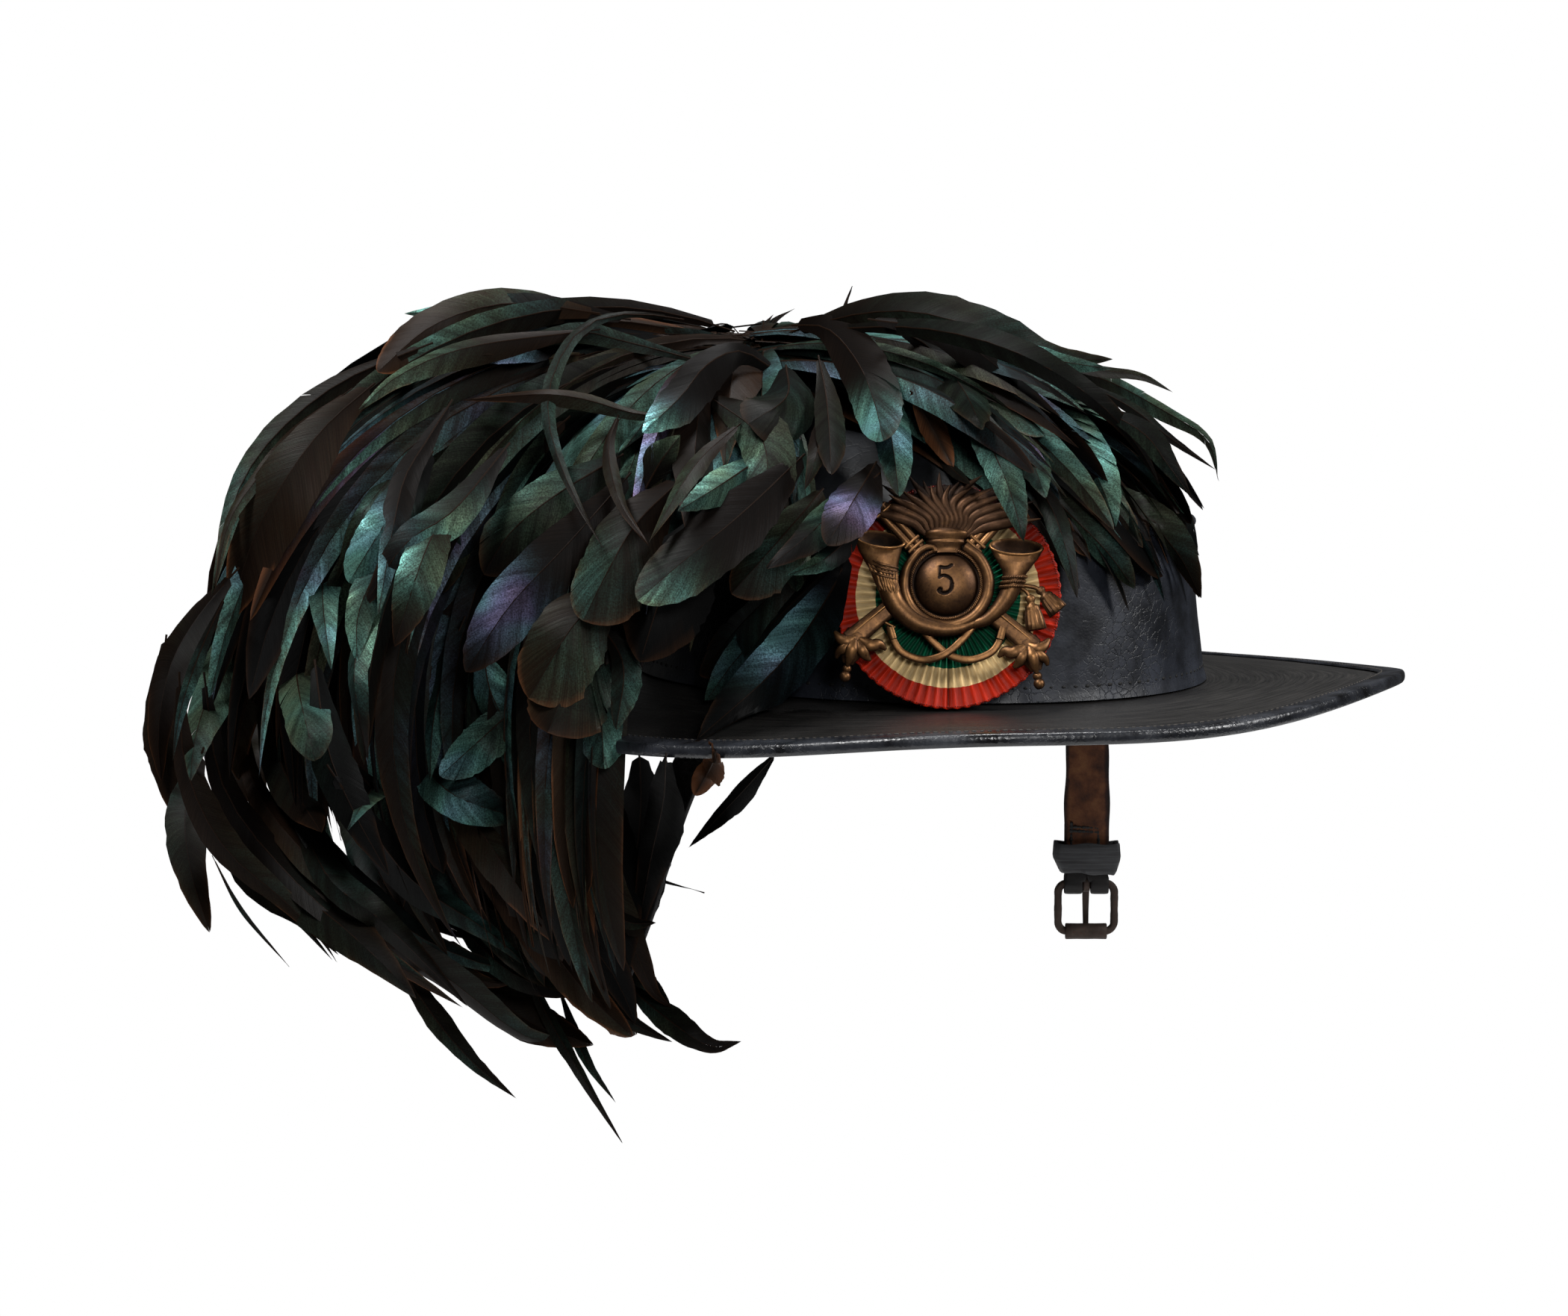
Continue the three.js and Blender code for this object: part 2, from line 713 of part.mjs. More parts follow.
function roundedRectangle(width, height, corner) {
  const [x, y] = [width / 2, height / 2];
  const shape = new THREE.Shape();
  shape.moveTo(-x + corner, -y);
  shape.lineTo(x - corner, -y);
  shape.absarc(x - corner, -y + corner, corner, -Math.PI / 2, 0, false);
  shape.lineTo(x, y - corner);
  shape.absarc(x - corner, y - corner, corner, 0, Math.PI / 2, false);
  shape.lineTo(-x + corner, y);
  shape.absarc(-x + corner, y - corner, corner, Math.PI / 2, Math.PI, false);
  shape.lineTo(-x, -y + corner);
  shape.absarc(-x + corner, -y + corner, corner, Math.PI, 1.5 * Math.PI, false);
  return shape;
}

// The frame's wire is bent square; its upper and lower bars are round where the strap and roller turn.
function makeBuckleFrame() {
  const { width, height, wire, corner } = BUCKLE;
  const shape = roundedRectangle(width, height + wire, corner);
  const opening = roundedRectangle(width - 2 * wire, height - wire, corner - wire);
  shape.holes.push(new THREE.Path(opening.getPoints(3)));
  const frame = extruded(shape, wire, 3);
  return frame.translate(0, -height / 2, -wire / 2);
}

const ROLLER_LENGTH = 14;

function makeRoller() {
  const inner = BAR_ROUND + GAP / 2;
  const half = ROLLER_LENGTH / 2;
  const outer = BUCKLE.roller;
  const profile = [
    [inner, -half],
    [outer, -half],
    [outer, half],
    [inner, half],
    [inner, -half],
  ];
  return turned(profile, (angle, out, z) => vector(z, out * Math.cos(angle), out * Math.sin(angle)), 16);
}

// The prong's eye goes round the upper bar, and its tongue hangs behind the roller.
function makeProng() {
  const { prong, height, roller } = BUCKLE;
  const eyeIn = BAR_ROUND + GAP / 2;
  const eyeOut = eyeIn + 1.2;
  const eye = turned(
    [
      [eyeIn, -prong / 2],
      [eyeOut, -prong / 2],
      [eyeOut, prong / 2],
      [eyeIn, prong / 2],
      [eyeIn, -prong / 2],
    ],
    (angle, out, z) => vector(z, out * Math.cos(angle), out * Math.sin(angle)),
    16,
  );
  const behind = -(roller + GAP);
  const shape = new THREE.Shape();
  shape.moveTo(-eyeOut + 0.5, -0.9);
  shape.lineTo(behind, -height + 3.4);
  shape.lineTo(behind, -height - 1.2);
  shape.lineTo(behind - 1.1, -height - 1.2);
  shape.lineTo(behind - 1.3, -height + 3);
  shape.lineTo(-eyeOut - 0.35, -1.5);
  shape.lineTo(-eyeOut + 0.1, 0.4);
  const tongue = extruded(shape, prong);
  tongue.rotateY(-Math.PI / 2).translate(prong / 2, 0, 0);
  return geometryOf(solidOf(eye).add(solidOf(tongue)));
}

// A slack leather loop round the doubled strap.
function makeKeeper() {
  const wide = 22;
  const hole = { x: wide / 2 - STRAP.wall, y: STRAP.wall + GAP + 0.4 };
  const shape = new THREE.Shape();
  const [x, y] = [wide / 2, hole.y + STRAP.wall];
  shape.moveTo(-x, -y * 0.45);
  shape.lineTo(-x * 0.72, -y);
  shape.lineTo(x * 0.72, -y);
  shape.lineTo(x, -y * 0.45);
  shape.lineTo(x, y * 0.45);
  shape.lineTo(x * 0.72, y);
  shape.lineTo(-x * 0.72, y);
  shape.lineTo(-x, y * 0.45);
  const inside = new THREE.Path();
  inside.moveTo(-hole.x, -hole.y * 0.4);
  inside.lineTo(-hole.x * 0.76, -hole.y);
  inside.lineTo(hole.x * 0.76, -hole.y);
  inside.lineTo(hole.x, -hole.y * 0.4);
  inside.lineTo(hole.x, hole.y * 0.4);
  inside.lineTo(hole.x * 0.76, hole.y);
  inside.lineTo(-hole.x * 0.76, hole.y);
  inside.lineTo(-hole.x, hole.y * 0.4);
  shape.holes.push(inside);
  const loop = extruded(shape, 10.6);
  return loop.rotateX(-Math.PI / 2).translate(0, FOLD.neck + GAP, 0);
}

// `room` widens it all round, for the space that the plume leaves it.
function longStrap(room = 0) {
  const onWall = vector(0.065, 1, 0);
  const below = vector(-0.12, 1, 0);
  const stations = [
    { middle: vector(-sewnAt(30), 7.7, 30), across: onWall },
    { middle: vector(-sewnAt(8), 7.7, 8), across: onWall },
    { middle: vector(-77.2, 8, -6), across: onWall },
    { middle: vector(-85.5, 16.2, -34), across: below },
    { middle: vector(-92, 25.2, -65), across: below },
    { middle: vector(-98.5, 34.2, -95 - 3 * room), across: below },
  ];
  const size = { width: STRAP.width + 2 * room, wall: STRAP.wall + 2 * room };
  return strapSolid(stations.map((s) => ({ ...s, ...size })), 12);
}

// Finishes

const finish = (color, roughness, metalness = 0) =>
  new THREE.MeshStandardMaterial({ color, roughness, metalness });
const LEATHER = finish("#1c1d21", 0.55);
const BAND_LEATHER = finish("#22242b", 0.5);
const BINDING_LEATHER = finish("#17181b", 0.35);
const RIBBON = finish("#a8322a", 0.75);
const BRASS = finish("#6b4a2c", 0.45, 0.9);
const FEATHER = finish("#141815", 0.45);
const STRAP_LEATHER = finish("#1b1715", 0.6);
const BROWN_LEATHER = finish("#3c2415", 0.8);
const IRON = finish("#2a2624", 0.6, 0.7);

// Assembly

function named(name, geometry, material) {
  const mesh = new THREE.Mesh(geometry, material);
  mesh.name = name;
  return mesh;
}

const hat = new THREE.Group();
hat.add(
  named("crown", makeCrown(), LEATHER),
  named("side_band", makeSideBand(), BAND_LEATHER),
  named("brim", makeBrim(), LEATHER),
  named("brim_binding", makeBinding(), BINDING_LEATHER),
);

const turnToFront = new THREE.Group();
turnToFront.rotation.z = -radians(COCKADE_TURN);
const front = new THREE.Group();
front.position.set(COCKADE_AT.side, -COCKADE_AT.out, COCKADE_AT.high);
front.rotation.x = Math.PI / 2 - radians(COCKADE.lean);
turnToFront.add(front);
hat.add(turnToFront);

const cockade = named("cockade", makeCockade(), RIBBON);
const badge = named("badge", makeBadge(), BRASS);
const pleatTop = COCKADE.base + COCKADE.depth / 2 + COCKADE.bowl;
badge.position.set(BADGE_AT.side, BADGE_AT.up, pleatTop + BADGE_STAND);
front.add(cockade, badge);
hat.updateMatrixWorld(true);

// A plain block that holds the cockade and badge, with room round them, for the plume to stay clear of.
const badgeRoom = COCKADE.radius + 7;
const badgeBlock = new THREE.CylinderGeometry(badgeRoom, badgeRoom, 16, 20);
badgeBlock.rotateX(Math.PI / 2).translate(0, 3, 6.5).applyMatrix4(front.matrixWorld);
hat.add(named("plume", makePlume(solidOf(badgeBlock)), FEATHER));

const buckle = buckleGroup();
const roller = named("buckle_roller", makeRoller(), IRON);
roller.position.y = -BUCKLE.height;
buckle.add(
  named("strap_keeper", makeKeeper(), STRAP_LEATHER),
  named("buckle_frame", makeBuckleFrame(), IRON),
  named("buckle_prong", makeProng(), IRON),
  roller,
);
hat.add(
  named("buckle_strap", makeBuckleStrap(), BROWN_LEATHER),
  named("long_strap", longStrap(), STRAP_LEATHER),
  buckle,
);

export default hat;
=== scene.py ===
"""The bersaglieri hat's looks, laid over its CAD frame.

Metres in Blender's scene and millimetres in every size below, +Z up, -Y the hat's front and +X the
wearer's left. The origin is the middle of the head opening, level with the top of the brim.
"""

import logging
import math
from collections.abc import Callable
from dataclasses import dataclass, field
from enum import Enum
from functools import partial

import bmesh
import bpy
import numpy as np
from mathutils import Matrix, Vector
from mathutils.bvhtree import BVHTree


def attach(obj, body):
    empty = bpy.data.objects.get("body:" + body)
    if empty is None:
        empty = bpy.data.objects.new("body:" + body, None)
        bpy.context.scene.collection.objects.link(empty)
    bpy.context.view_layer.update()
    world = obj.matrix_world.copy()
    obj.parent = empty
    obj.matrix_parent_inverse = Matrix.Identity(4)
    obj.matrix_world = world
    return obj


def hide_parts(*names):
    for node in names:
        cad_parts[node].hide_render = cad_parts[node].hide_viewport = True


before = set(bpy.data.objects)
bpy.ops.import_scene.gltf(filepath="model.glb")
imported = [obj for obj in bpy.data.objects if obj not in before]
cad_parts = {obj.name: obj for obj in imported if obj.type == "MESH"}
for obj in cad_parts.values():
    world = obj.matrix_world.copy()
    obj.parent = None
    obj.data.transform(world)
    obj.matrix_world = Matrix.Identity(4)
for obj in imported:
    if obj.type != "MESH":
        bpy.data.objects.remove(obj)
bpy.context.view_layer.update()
LOG = logging.getLogger("hat")
MM = 0.001
TAU = 2 * math.pi
UP = np.array([0, 0, 1.0])

Points = np.ndarray
Row = tuple[float, ...]
Tree = bpy.types.NodeTree
Piece = bpy.types.Object


# Small helpers


def linear(hex_colour: str) -> tuple[float, float, float, float]:
    """Turns an sRGB hex value into the linear colour that a shader socket takes.

    Args:
        hex_colour: the colour as "#rrggbb".

    Returns:
        Linear red, green, blue and an alpha of 1.
    """
    shares = [int(hex_colour[i : i + 2], 16) / 255 for i in (1, 3, 5)]
    light = [c / 12.92 if c <= 0.04045 else ((c + 0.055) / 1.055) ** 2.4 for c in shares]
    return (*light, 1.0)


def plug(tree: Tree, node: bpy.types.Node, inputs: dict | list) -> None:
    """Sets or links a node's inputs.

    Args:
        tree: the node's tree.
        node: the node.
        inputs: a value, an output socket or a node for each input, by name or number, or in order.
    """
    for key, value in inputs.items() if isinstance(inputs, dict) else enumerate(inputs):
        if isinstance(value, bpy.types.Node):
            value = next(out for out in value.outputs if out.enabled)
        if isinstance(value, bpy.types.NodeSocket):
            tree.links.new(value, node.inputs[key])
        else:
            node.inputs[key].default_value = value


def add_node(tree: Tree, kind: str, inputs: dict | list = (), stops: tuple = (),
             **settings) -> bpy.types.Node:
    """Adds one node with its settings and links.

    Args:
        tree: the tree that gets the node.
        kind: the node's type name, without ShaderNode where it is a shader's.
        inputs: what `plug` takes.
        stops: a colour ramp's (place, hex colour) pairs.
        **settings: the node's own properties.

    Returns:
        The node.
    """
    node = tree.nodes.new(kind if "Node" in kind else "ShaderNode" + kind)
    for name, value in settings.items():
        setattr(node, name, value)
    plug(tree, node, inputs)
    for k, (place, colour) in enumerate(stops):
        ramp = node.color_ramp.elements
        element = ramp[k] if k < len(ramp) else ramp.new(place)
        element.position = place
        element.color = linear(colour)
    return node


def unit(vectors: Points) -> Points:
    """Vectors scaled to a length of 1, along the last axis."""
    return vectors / np.maximum(np.linalg.norm(vectors, axis=-1, keepdims=True), 1e-9)


def around(count: int) -> Points:
    """Even angles round a circle, as a column."""
    return np.linspace(0, TAU, count, endpoint=False)[:, None]


def spread(*parts: Points) -> Points:
    """Coordinates that fit each other's rows and columns, as points."""
    return np.stack(np.broadcast_arrays(*parts), -1)


def run_along(line: Points) -> Points:
    """How far along a line each of its points lies."""
    return np.concatenate([[0], np.cumsum(np.linalg.norm(np.diff(line, axis=0), axis=1))])


def spaced(values: Points, count: int) -> Points:
    """A few values, spread evenly over `count` places."""
    values = np.atleast_1d(values)
    return np.interp(np.linspace(0, 1, count), np.linspace(0, 1, len(values)), values)


def at_runs(even: Points, run: Points, line: Points) -> Points:
    """The points of a line at given ways along it."""
    return np.stack([np.interp(even, run, line[:, k]) for k in range(line.shape[1])], -1)


def smooth_line(points: Points, count: int) -> Points:
    """Points at even steps on a smooth line through the given ones.

    Args:
        points: the points that the line goes through, one a row.
        count: how many points come back.

    Returns:
        An array of `count` rows.
    """
    p = np.asarray(points, float)
    ends = np.vstack([2 * p[0] - p[1], p, 2 * p[-1] - p[-2]])
    t = np.linspace(0, 1, 12, endpoint=False)[:, None]
    spans = []
    for a, b, c, d in zip(ends, ends[1:], ends[2:], ends[3:]):
        bend = 2 * b + (c - a) * t + (2 * a - 5 * b + 4 * c - d) * t**2 + (3 * b - a - 3 * c + d) * t**3
        spans.append(0.5 * bend)
    line = np.vstack([*spans, p[-1:]])
    run = run_along(line)
    return at_runs(np.linspace(0, run[-1], count), run, line)


@dataclass
class Shape:
    """Points in millimetres and quads, with a UV pair and a tint for each point."""

    points: Points
    quads: Points
    uv: Points | None = None
    tint: Points | None = None

    def rubbed(self, share: float) -> "Shape":
        """The same shape of metal, with how much its tops are rubbed bright."""
        return Shape(self.points, self.quads, None, np.tile([share, 0.0, 0.0, 1.0], (len(self.points), 1)))


def joined(shapes: list[Shape]) -> Shape:
    """Many shapes as one, without UV or tint where one of them has none."""
    starts = np.cumsum([0] + [len(s.points) for s in shapes])
    stack = lambda parts: None if any(p is None for p in parts) else np.vstack(parts)
    return Shape(stack([s.points for s in shapes]), stack([s.quads + n for s, n in zip(shapes, starts)]),
                 stack([s.uv for s in shapes]), stack([s.tint for s in shapes]))


def lattice(grid: Points, wrap_rows: bool = False, wrap_columns: bool = False, uv: Points | None = None,
            tint: Points | None = None, flip: bool = False) -> Shape:
    """A grid of points as a sheet of quads.

    Args:
        grid: points by row and column.
        wrap_rows: joins the last row to the first.
        wrap_columns: joins the last column to the first.
        uv: a UV pair for each point.
        tint: a colour for each point.
        flip: turns the faces round.

    Returns:
        The sheet.
    """
    rows, columns = grid.shape[:2]
    index = np.arange(rows * columns).reshape(rows, columns)
    if wrap_rows:
        index = np.vstack([index, index[:1]])
    if wrap_columns:
        index = np.hstack([index, index[:, :1]])
    corners = [index[:-1, :-1], index[1:, :-1], index[1:, 1:], index[:-1, 1:]]
    quads = np.stack([c.ravel() for c in corners], 1)
    flat = lambda a: None if a is None else a.reshape(rows * columns, -1)
    return Shape(flat(grid), quads[:, ::-1] if flip else quads, flat(uv), flat(tint))


def sweep(line: Points, across: Points, half: Points, sides: int = 8, square: float = 2.0,
          closed: bool = False) -> Shape:
    """A bar along a line, with an oval or rounded-square section and closed ends.

    Args:
        line: the middle of the bar, one point a row.
        across: the direction of the section's width at each point.
        half: half the width and half the depth at each point.
        sides: points round the section.
        square: 2 for an oval, more for a squarer section.
        closed: whether the bar's end meets its start.

    Returns:
        The bar, its UV in centimetres round and along.
    """
    run = run_along(line)
    along = unit(np.roll(line, -1, 0) - np.roll(line, 1, 0) if closed else np.gradient(line, axis=0))
    through = unit(np.cross(along, np.broadcast_to(across, line.shape)))
    across = np.cross(through, along)
    half = np.broadcast_to(half, (len(line), 2))
    turn = around(sides)[:, 0] + math.pi / sides
    x, y = [np.sign(w) * np.abs(w) ** (2 / square) for w in (np.cos(turn), np.sin(turn))]
    grid = line[:, None] + across[:, None] * (half[:, :1] * x)[..., None]
    grid = grid + through[:, None] * (half[:, 1:] * y)[..., None]
    uv = spread(half[:, :1] * x / 10, run[:, None] / 10)
    tube = lattice(grid, wrap_rows=closed, wrap_columns=True, uv=uv)
    if closed:
        return tube
    caps = []
    for row in (0, len(line) - 1):
        rim, middle = grid[row], grid[row].mean(0)
        inner = np.stack([rim, middle + (rim - middle) * 0.5, np.repeat(middle[None], sides, 0)])
        caps.append(lattice(inner, wrap_columns=True, uv=np.repeat(uv[row][None], 3, 0)))
    return joined([tube, *caps])


def make_piece(name: str, shape: Shape, stocks: list["Stock"], slot: str = "", nodes: tuple[str, ...] = (),
               body: str = "root", closed: bool = True, corner: float = 40.0) -> Piece:
    """Makes a Blender object from a shape, with its place in its mesh.

    Args:
        name: the piece's name.
        shape: the points and faces, in millimetres.
        stocks: the finishes of its slots.
        slot: a name for its material slot, of which only whether it is given is used: a piece with one is
            settled on the hat, the floor has none.
        nodes: the CAD nodes that it replaces.
        body: the CAD body that it moves with.
        closed: whether it is a closed solid, whose faces are then turned outwards.
        corner: the angle in degrees over which an edge stays sharp.

    Returns:
        The object.
    """
    mesh = bpy.data.meshes.new(name)
    count = len(shape.quads)
    mesh.vertices.add(len(shape.points))
    mesh.vertices.foreach_set("co", (shape.points * MM).astype(np.float32).ravel())
    mesh.loops.add(count * 4)
    mesh.loops.foreach_set("vertex_index", shape.quads.astype(np.int32).ravel())
    mesh.polygons.add(count)
    mesh.polygons.foreach_set("loop_start", np.arange(0, count * 4, 4, dtype=np.int32))
    mesh.update(calc_edges=True)
    if shape.uv is not None:
        layer = mesh.uv_layers.new(name="cut")
        layer.data.foreach_set("uv", shape.uv[shape.quads.ravel()].astype(np.float32).ravel())
    if shape.tint is not None:
        paint(mesh, shape.tint)
    if closed:
        cast = bmesh.new()
        cast.from_mesh(mesh)
        bmesh.ops.remove_doubles(cast, verts=cast.verts, dist=1e-6)
        bmesh.ops.dissolve_degenerate(cast, dist=1e-7, edges=cast.edges)
        bmesh.ops.recalc_face_normals(cast, faces=cast.faces)
        cast.to_mesh(mesh)
        cast.free()
    mesh.shade_smooth()
    if corner < 180:
        mesh.set_sharp_from_angle(angle=math.radians(corner))
    for stock in stocks:
        mesh.materials.append(stock.material())
    piece = bpy.data.objects.new(name, mesh)
    bpy.context.scene.collection.objects.link(piece)
    LOG.info("%s: %d points, %d faces", name, len(mesh.vertices), len(mesh.polygons))
    if slot:
        settle(piece, nodes, body)
    return piece


def paint(mesh: bpy.types.Mesh, tint: Points) -> None:
    """Gives a mesh its tint, one colour for each point."""
    layer = mesh.color_attributes.new("tint", "FLOAT_COLOR", "POINT")
    layer.data.foreach_set("color", tint.astype(np.float32).ravel())


def settle(piece: Piece, nodes: tuple[str, ...] = (), body: str = "root") -> None:
    """Makes a piece ride on a body and stand for CAD nodes.

    Args:
        piece: the object.
        nodes: the CAD nodes that it replaces.
        body: the CAD body that it moves with.
    """
    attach(piece, body)
    if nodes:
        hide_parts(*nodes)


# The photograph's camera


@dataclass(frozen=True)
class PhotoCamera:
    """The camera that was fitted to the photograph, in its full 2100 x 1763 frame."""

    turn: float = 38.0  # degrees round from the hat's front towards the wearer's right
    high: float = 6.14  # degrees above the brim
    away: float = 1600.0
    scale: float = 0.243  # millimetres a pixel at the hat's middle
    middle: tuple[float, float] = (1230.33, 899.04)  # the pixel of the origin
    size: tuple[int, int] = (2100, 1763)
    sensor: float = 36.0

    def axes(self) -> tuple[Points, Points, Points]:
        """The directions of view, of the image's right and of its up."""
        t, e = math.radians(self.turn), math.radians(self.high)
        view = np.array([math.sin(t) * math.cos(e), math.cos(t) * math.cos(e), -math.sin(e)])
        right = np.array([math.cos(t), -math.sin(t), 0.0])
        return view, right, np.cross(right, view)

    def place(self) -> Points:
        """Where the camera stands, in millimetres."""
        view, right, up = self.axes()
        x, y = self.middle[0] - self.size[0] / 2, self.middle[1] - self.size[1] / 2
        return -x * self.scale * right + y * self.scale * up - self.away * view

    def ray(self, pixel: tuple[float, float]) -> Points:
        """The direction through a pixel, one unit deep along the view."""
        view, right, up = self.axes()
        reach = self.away / self.scale
        x, y = pixel[0] - self.size[0] / 2, self.size[1] / 2 - pixel[1]
        return view + (x * right + y * up) / reach

    def set_up(self) -> None:
        """Puts Blender's camera where the photographer's was."""
        data = bpy.data.cameras.new("photo_camera")
        data.sensor_width = self.sensor
        data.lens = self.sensor * self.away / self.scale / self.size[0]
        data.clip_end = 100
        camera = bpy.data.objects.new("photo_camera", data)
        view, right, up = self.axes()
        spin = Matrix([[*row] for row in np.stack([right, up, -view], 1)]).to_4x4()
        camera.matrix_world = Matrix.Translation(Vector(self.place() * MM)) @ spin
        bpy.context.scene.collection.objects.link(camera)
        bpy.context.scene.camera = camera


# Finishes

BLEND = {"data_type": "RGBA"}
TIMES = {"data_type": "RGBA", "blend_type": "MULTIPLY"}


@dataclass(frozen=True)
class Finish:
    """What every finish shares: a named material, whose nodes the finish lays itself."""

    name: str

    def make(self) -> bpy.types.Material:
        """Builds the material."""
        material = bpy.data.materials.new(self.name)
        material.use_nodes = True
        tree = material.node_tree
        add = partial(add_node, tree)
        place = add("TexCoord").outputs
        plug(tree, tree.nodes["Principled BSDF"], self.lay(add, place["Object"], place["UV"]))
        return material

    def lay(self, add: Callable, here: bpy.types.NodeSocket, cut: bpy.types.NodeSocket) -> dict:
        """Adds the nodes.

        Args:
            add: `add_node` for the material's tree.
            here: the place in metres.
            cut: the piece's own UV.

        Returns:
            What goes into the shader's inputs, by name.
        """
        raise NotImplementedError


@dataclass(frozen=True)
class PaintedLeather(Finish):
    """Vegetable-tanned leather under old black paint, brushed on and polished by hand.

    It gives the eye a near black skin with a faint cold bloom, a net of fine cracks where it has bent,
    and a broken sheen that is brighter on the rubbed parts.
    """

    deep: str  # the paint in its hollows
    bloom: str  # the dull grey film on it
    bloom_share: float
    gloss: float  # roughness where it is polished
    dull: float  # roughness where it is worn
    crack: float  # 0 for none, 1 for a strong net
    crack_size: float = 9.0  # millimetres between cracks
    streak: float = 0.0  # how much the rubbing follows the brim
    grain: float = 0.9  # millimetres between pores, drawn a little coarse so that they show
    wrinkle: float = 0.12  # height of the pores, as a share of the long waves
    shine: float = 0.42

    def lay(self, add: Callable, here: bpy.types.NodeSocket, cut: bpy.types.NodeSocket) -> dict:
        """Adds pores, cracks, bloom and rubbed places. The brim's rubbing follows its UV."""
        cloud = add("TexNoise", {"Vector": here, "Scale": 34.0, "Detail": 7.0, "Roughness": 0.66})
        wander = add("VectorMath", [cloud.outputs["Color"], (0.012,) * 3, here], operation="MULTIPLY_ADD")
        net = add("TexVoronoi", {"Vector": wander, "Scale": 1000 / self.crack_size},
                  feature="DISTANCE_TO_EDGE")
        where = add("MapRange", [cloud, 0.47, 0.62, 0.0, self.crack])
        line = add("MapRange", [net, 0.0, 0.07, 1.0, 0.0])
        crack = add("Math", [line, where], operation="MULTIPLY")
        pore = add("TexVoronoi", {"Vector": here, "Scale": 1000 / self.grain, "Randomness": 1.0})
        film = add("TexNoise", {"Vector": here, "Scale": 70.0, "Detail": 5.0, "Roughness": 0.6})
        if self.streak:
            flow = add("Mapping", {"Vector": cut, "Scale": (0.35, 9.0, 1.0)})
            rays = add("TexNoise", {"Vector": flow, "Scale": 1.0, "Detail": 6.0, "Roughness": 0.7})
            film = add("Mix", {0: self.streak, 2: film, 3: rays})
        share = add("MapRange", [film, 0.35, 0.72, 0.0, self.bloom_share])
        skin = add("Mix", {0: share, 6: linear(self.deep), 7: linear(self.bloom)}, **BLEND)
        split = add("Mix", {0: crack, 6: skin, 7: linear("#050505")}, **BLEND)
        rough = add("MapRange", [film, 0.3, 0.7, self.gloss, self.dull])
        deep = add("Math", [crack, -1.0], operation="MULTIPLY")
        fine = add("Math", [pore, self.wrinkle, deep], operation="MULTIPLY_ADD")
        wave = add("Math", [cloud, 1.0, fine], operation="MULTIPLY_ADD")
        bump = add("Bump", {"Height": wave, "Strength": 0.5, "Distance": 0.0005})
        return {"Base Color": split, "Roughness": rough, "Normal": bump, "Specular IOR Level": self.shine}


@dataclass(frozen=True)
class FleshLeather(Finish):
    """The rough inner side of strap leather, dyed brown and dirtied in wear: a matt nap with dark spots."""

    dyes: tuple = ((0.1, "#0c0706"), (0.34, "#2c160e"), (0.48, "#522f1b"), (0.66, "#70482b"))

    def lay(self, add: Callable, here: bpy.types.NodeSocket, cut: bpy.types.NodeSocket) -> dict:
        """Adds nap and dirt, and darkens the strap towards its edges."""
        nap = add("TexNoise", {"Vector": here, "Scale": 900.0, "Detail": 4.0, "Roughness": 0.7})
        dirt = add("TexNoise", {"Vector": here, "Scale": 120.0, "Detail": 6.0, "Roughness": 0.62})
        side = add("Math", [add("SeparateXYZ", [cut])], operation="ABSOLUTE")
        dark = add("MapRange", [side, 0.58, 0.76, 0.0, 0.4])
        tone = add("Math", [dirt, dark], operation="SUBTRACT")
        dye = add("ValToRGB", [tone], self.dyes)
        bump = add("Bump", {"Height": nap, "Strength": 0.5, "Distance": 0.0003})
        return {"Base Color": dye, "Roughness": 0.78, "Specular IOR Level": 0.3, "Normal": bump}


@dataclass(frozen=True)
class RibbedSilk(Finish):
    """Woven silk ribbon in three colours, gathered to a round: fine ribs with a soft lustre along them."""

    green: str = "#0a6a48"
    cream: str = "#ffdc9f"
    red: str = "#bb260c"
    bounds: tuple[float, float] = (0.64, 0.815)  # where the colours change, as shares of the radius
    ragged: float = 0.022  # how far their bounds wander

    def lay(self, add: Callable, here: bpy.types.NodeSocket, cut: bpy.types.NodeSocket) -> dict:
        """Adds the colours, the ribs and the painted shade that the tint holds. The UV is the radius as a
        share, and the angle in turns.
        """
        part = add("SeparateXYZ", [cut])
        wander = add("TexNoise", {"Vector": here, "Scale": 420.0, "Detail": 3.0})
        shift = add("Math", [wander, self.ragged, part], operation="MULTIPLY_ADD")
        low, high = [bound + self.ragged / 2 for bound in self.bounds]
        dyes = add("ValToRGB", [shift], ((0.0, self.green), (low, self.cream), (high, self.red)))
        dyes.color_ramp.interpolation = "CONSTANT"
        wave = add("Math", [add("Math", [part, 900.0], operation="MULTIPLY")], operation="SINE")
        fray = add("Mapping", {"Vector": cut, "Scale": (14.0, 900.0, 1.0)})
        thread = add("TexNoise", {"Vector": fray, "Scale": 1.0, "Detail": 2.0})
        worn = add("TexNoise", {"Vector": here, "Scale": 160.0, "Detail": 5.0})
        fade = add("MapRange", [worn, 0.3, 0.75, 0.74, 1.15])
        lines = add("MapRange", [thread, 0.3, 0.7, 0.74, 1.12])
        light = add("Math", [fade, lines], operation="MULTIPLY")
        dyed = add("Mix", {0: 1.0, 6: dyes, 7: light}, **TIMES)
        # The tint is painted shade: darker in the pleats' hollows, at the seam and where the plume's shadow
        # falls.
        painted_shade = add("Mix", {0: 1.0, 6: dyed, 7: add("VertexColor", layer_name="tint")}, **TIMES)
        both = add("Math", [wave, 0.12, thread], operation="MULTIPLY_ADD")
        bump = add("Bump", {"Height": both, "Strength": 0.45, "Distance": 0.00018})
        return {"Base Color": painted_shade, "Roughness": 0.42, "Specular IOR Level": 0.16, "Normal": bump}


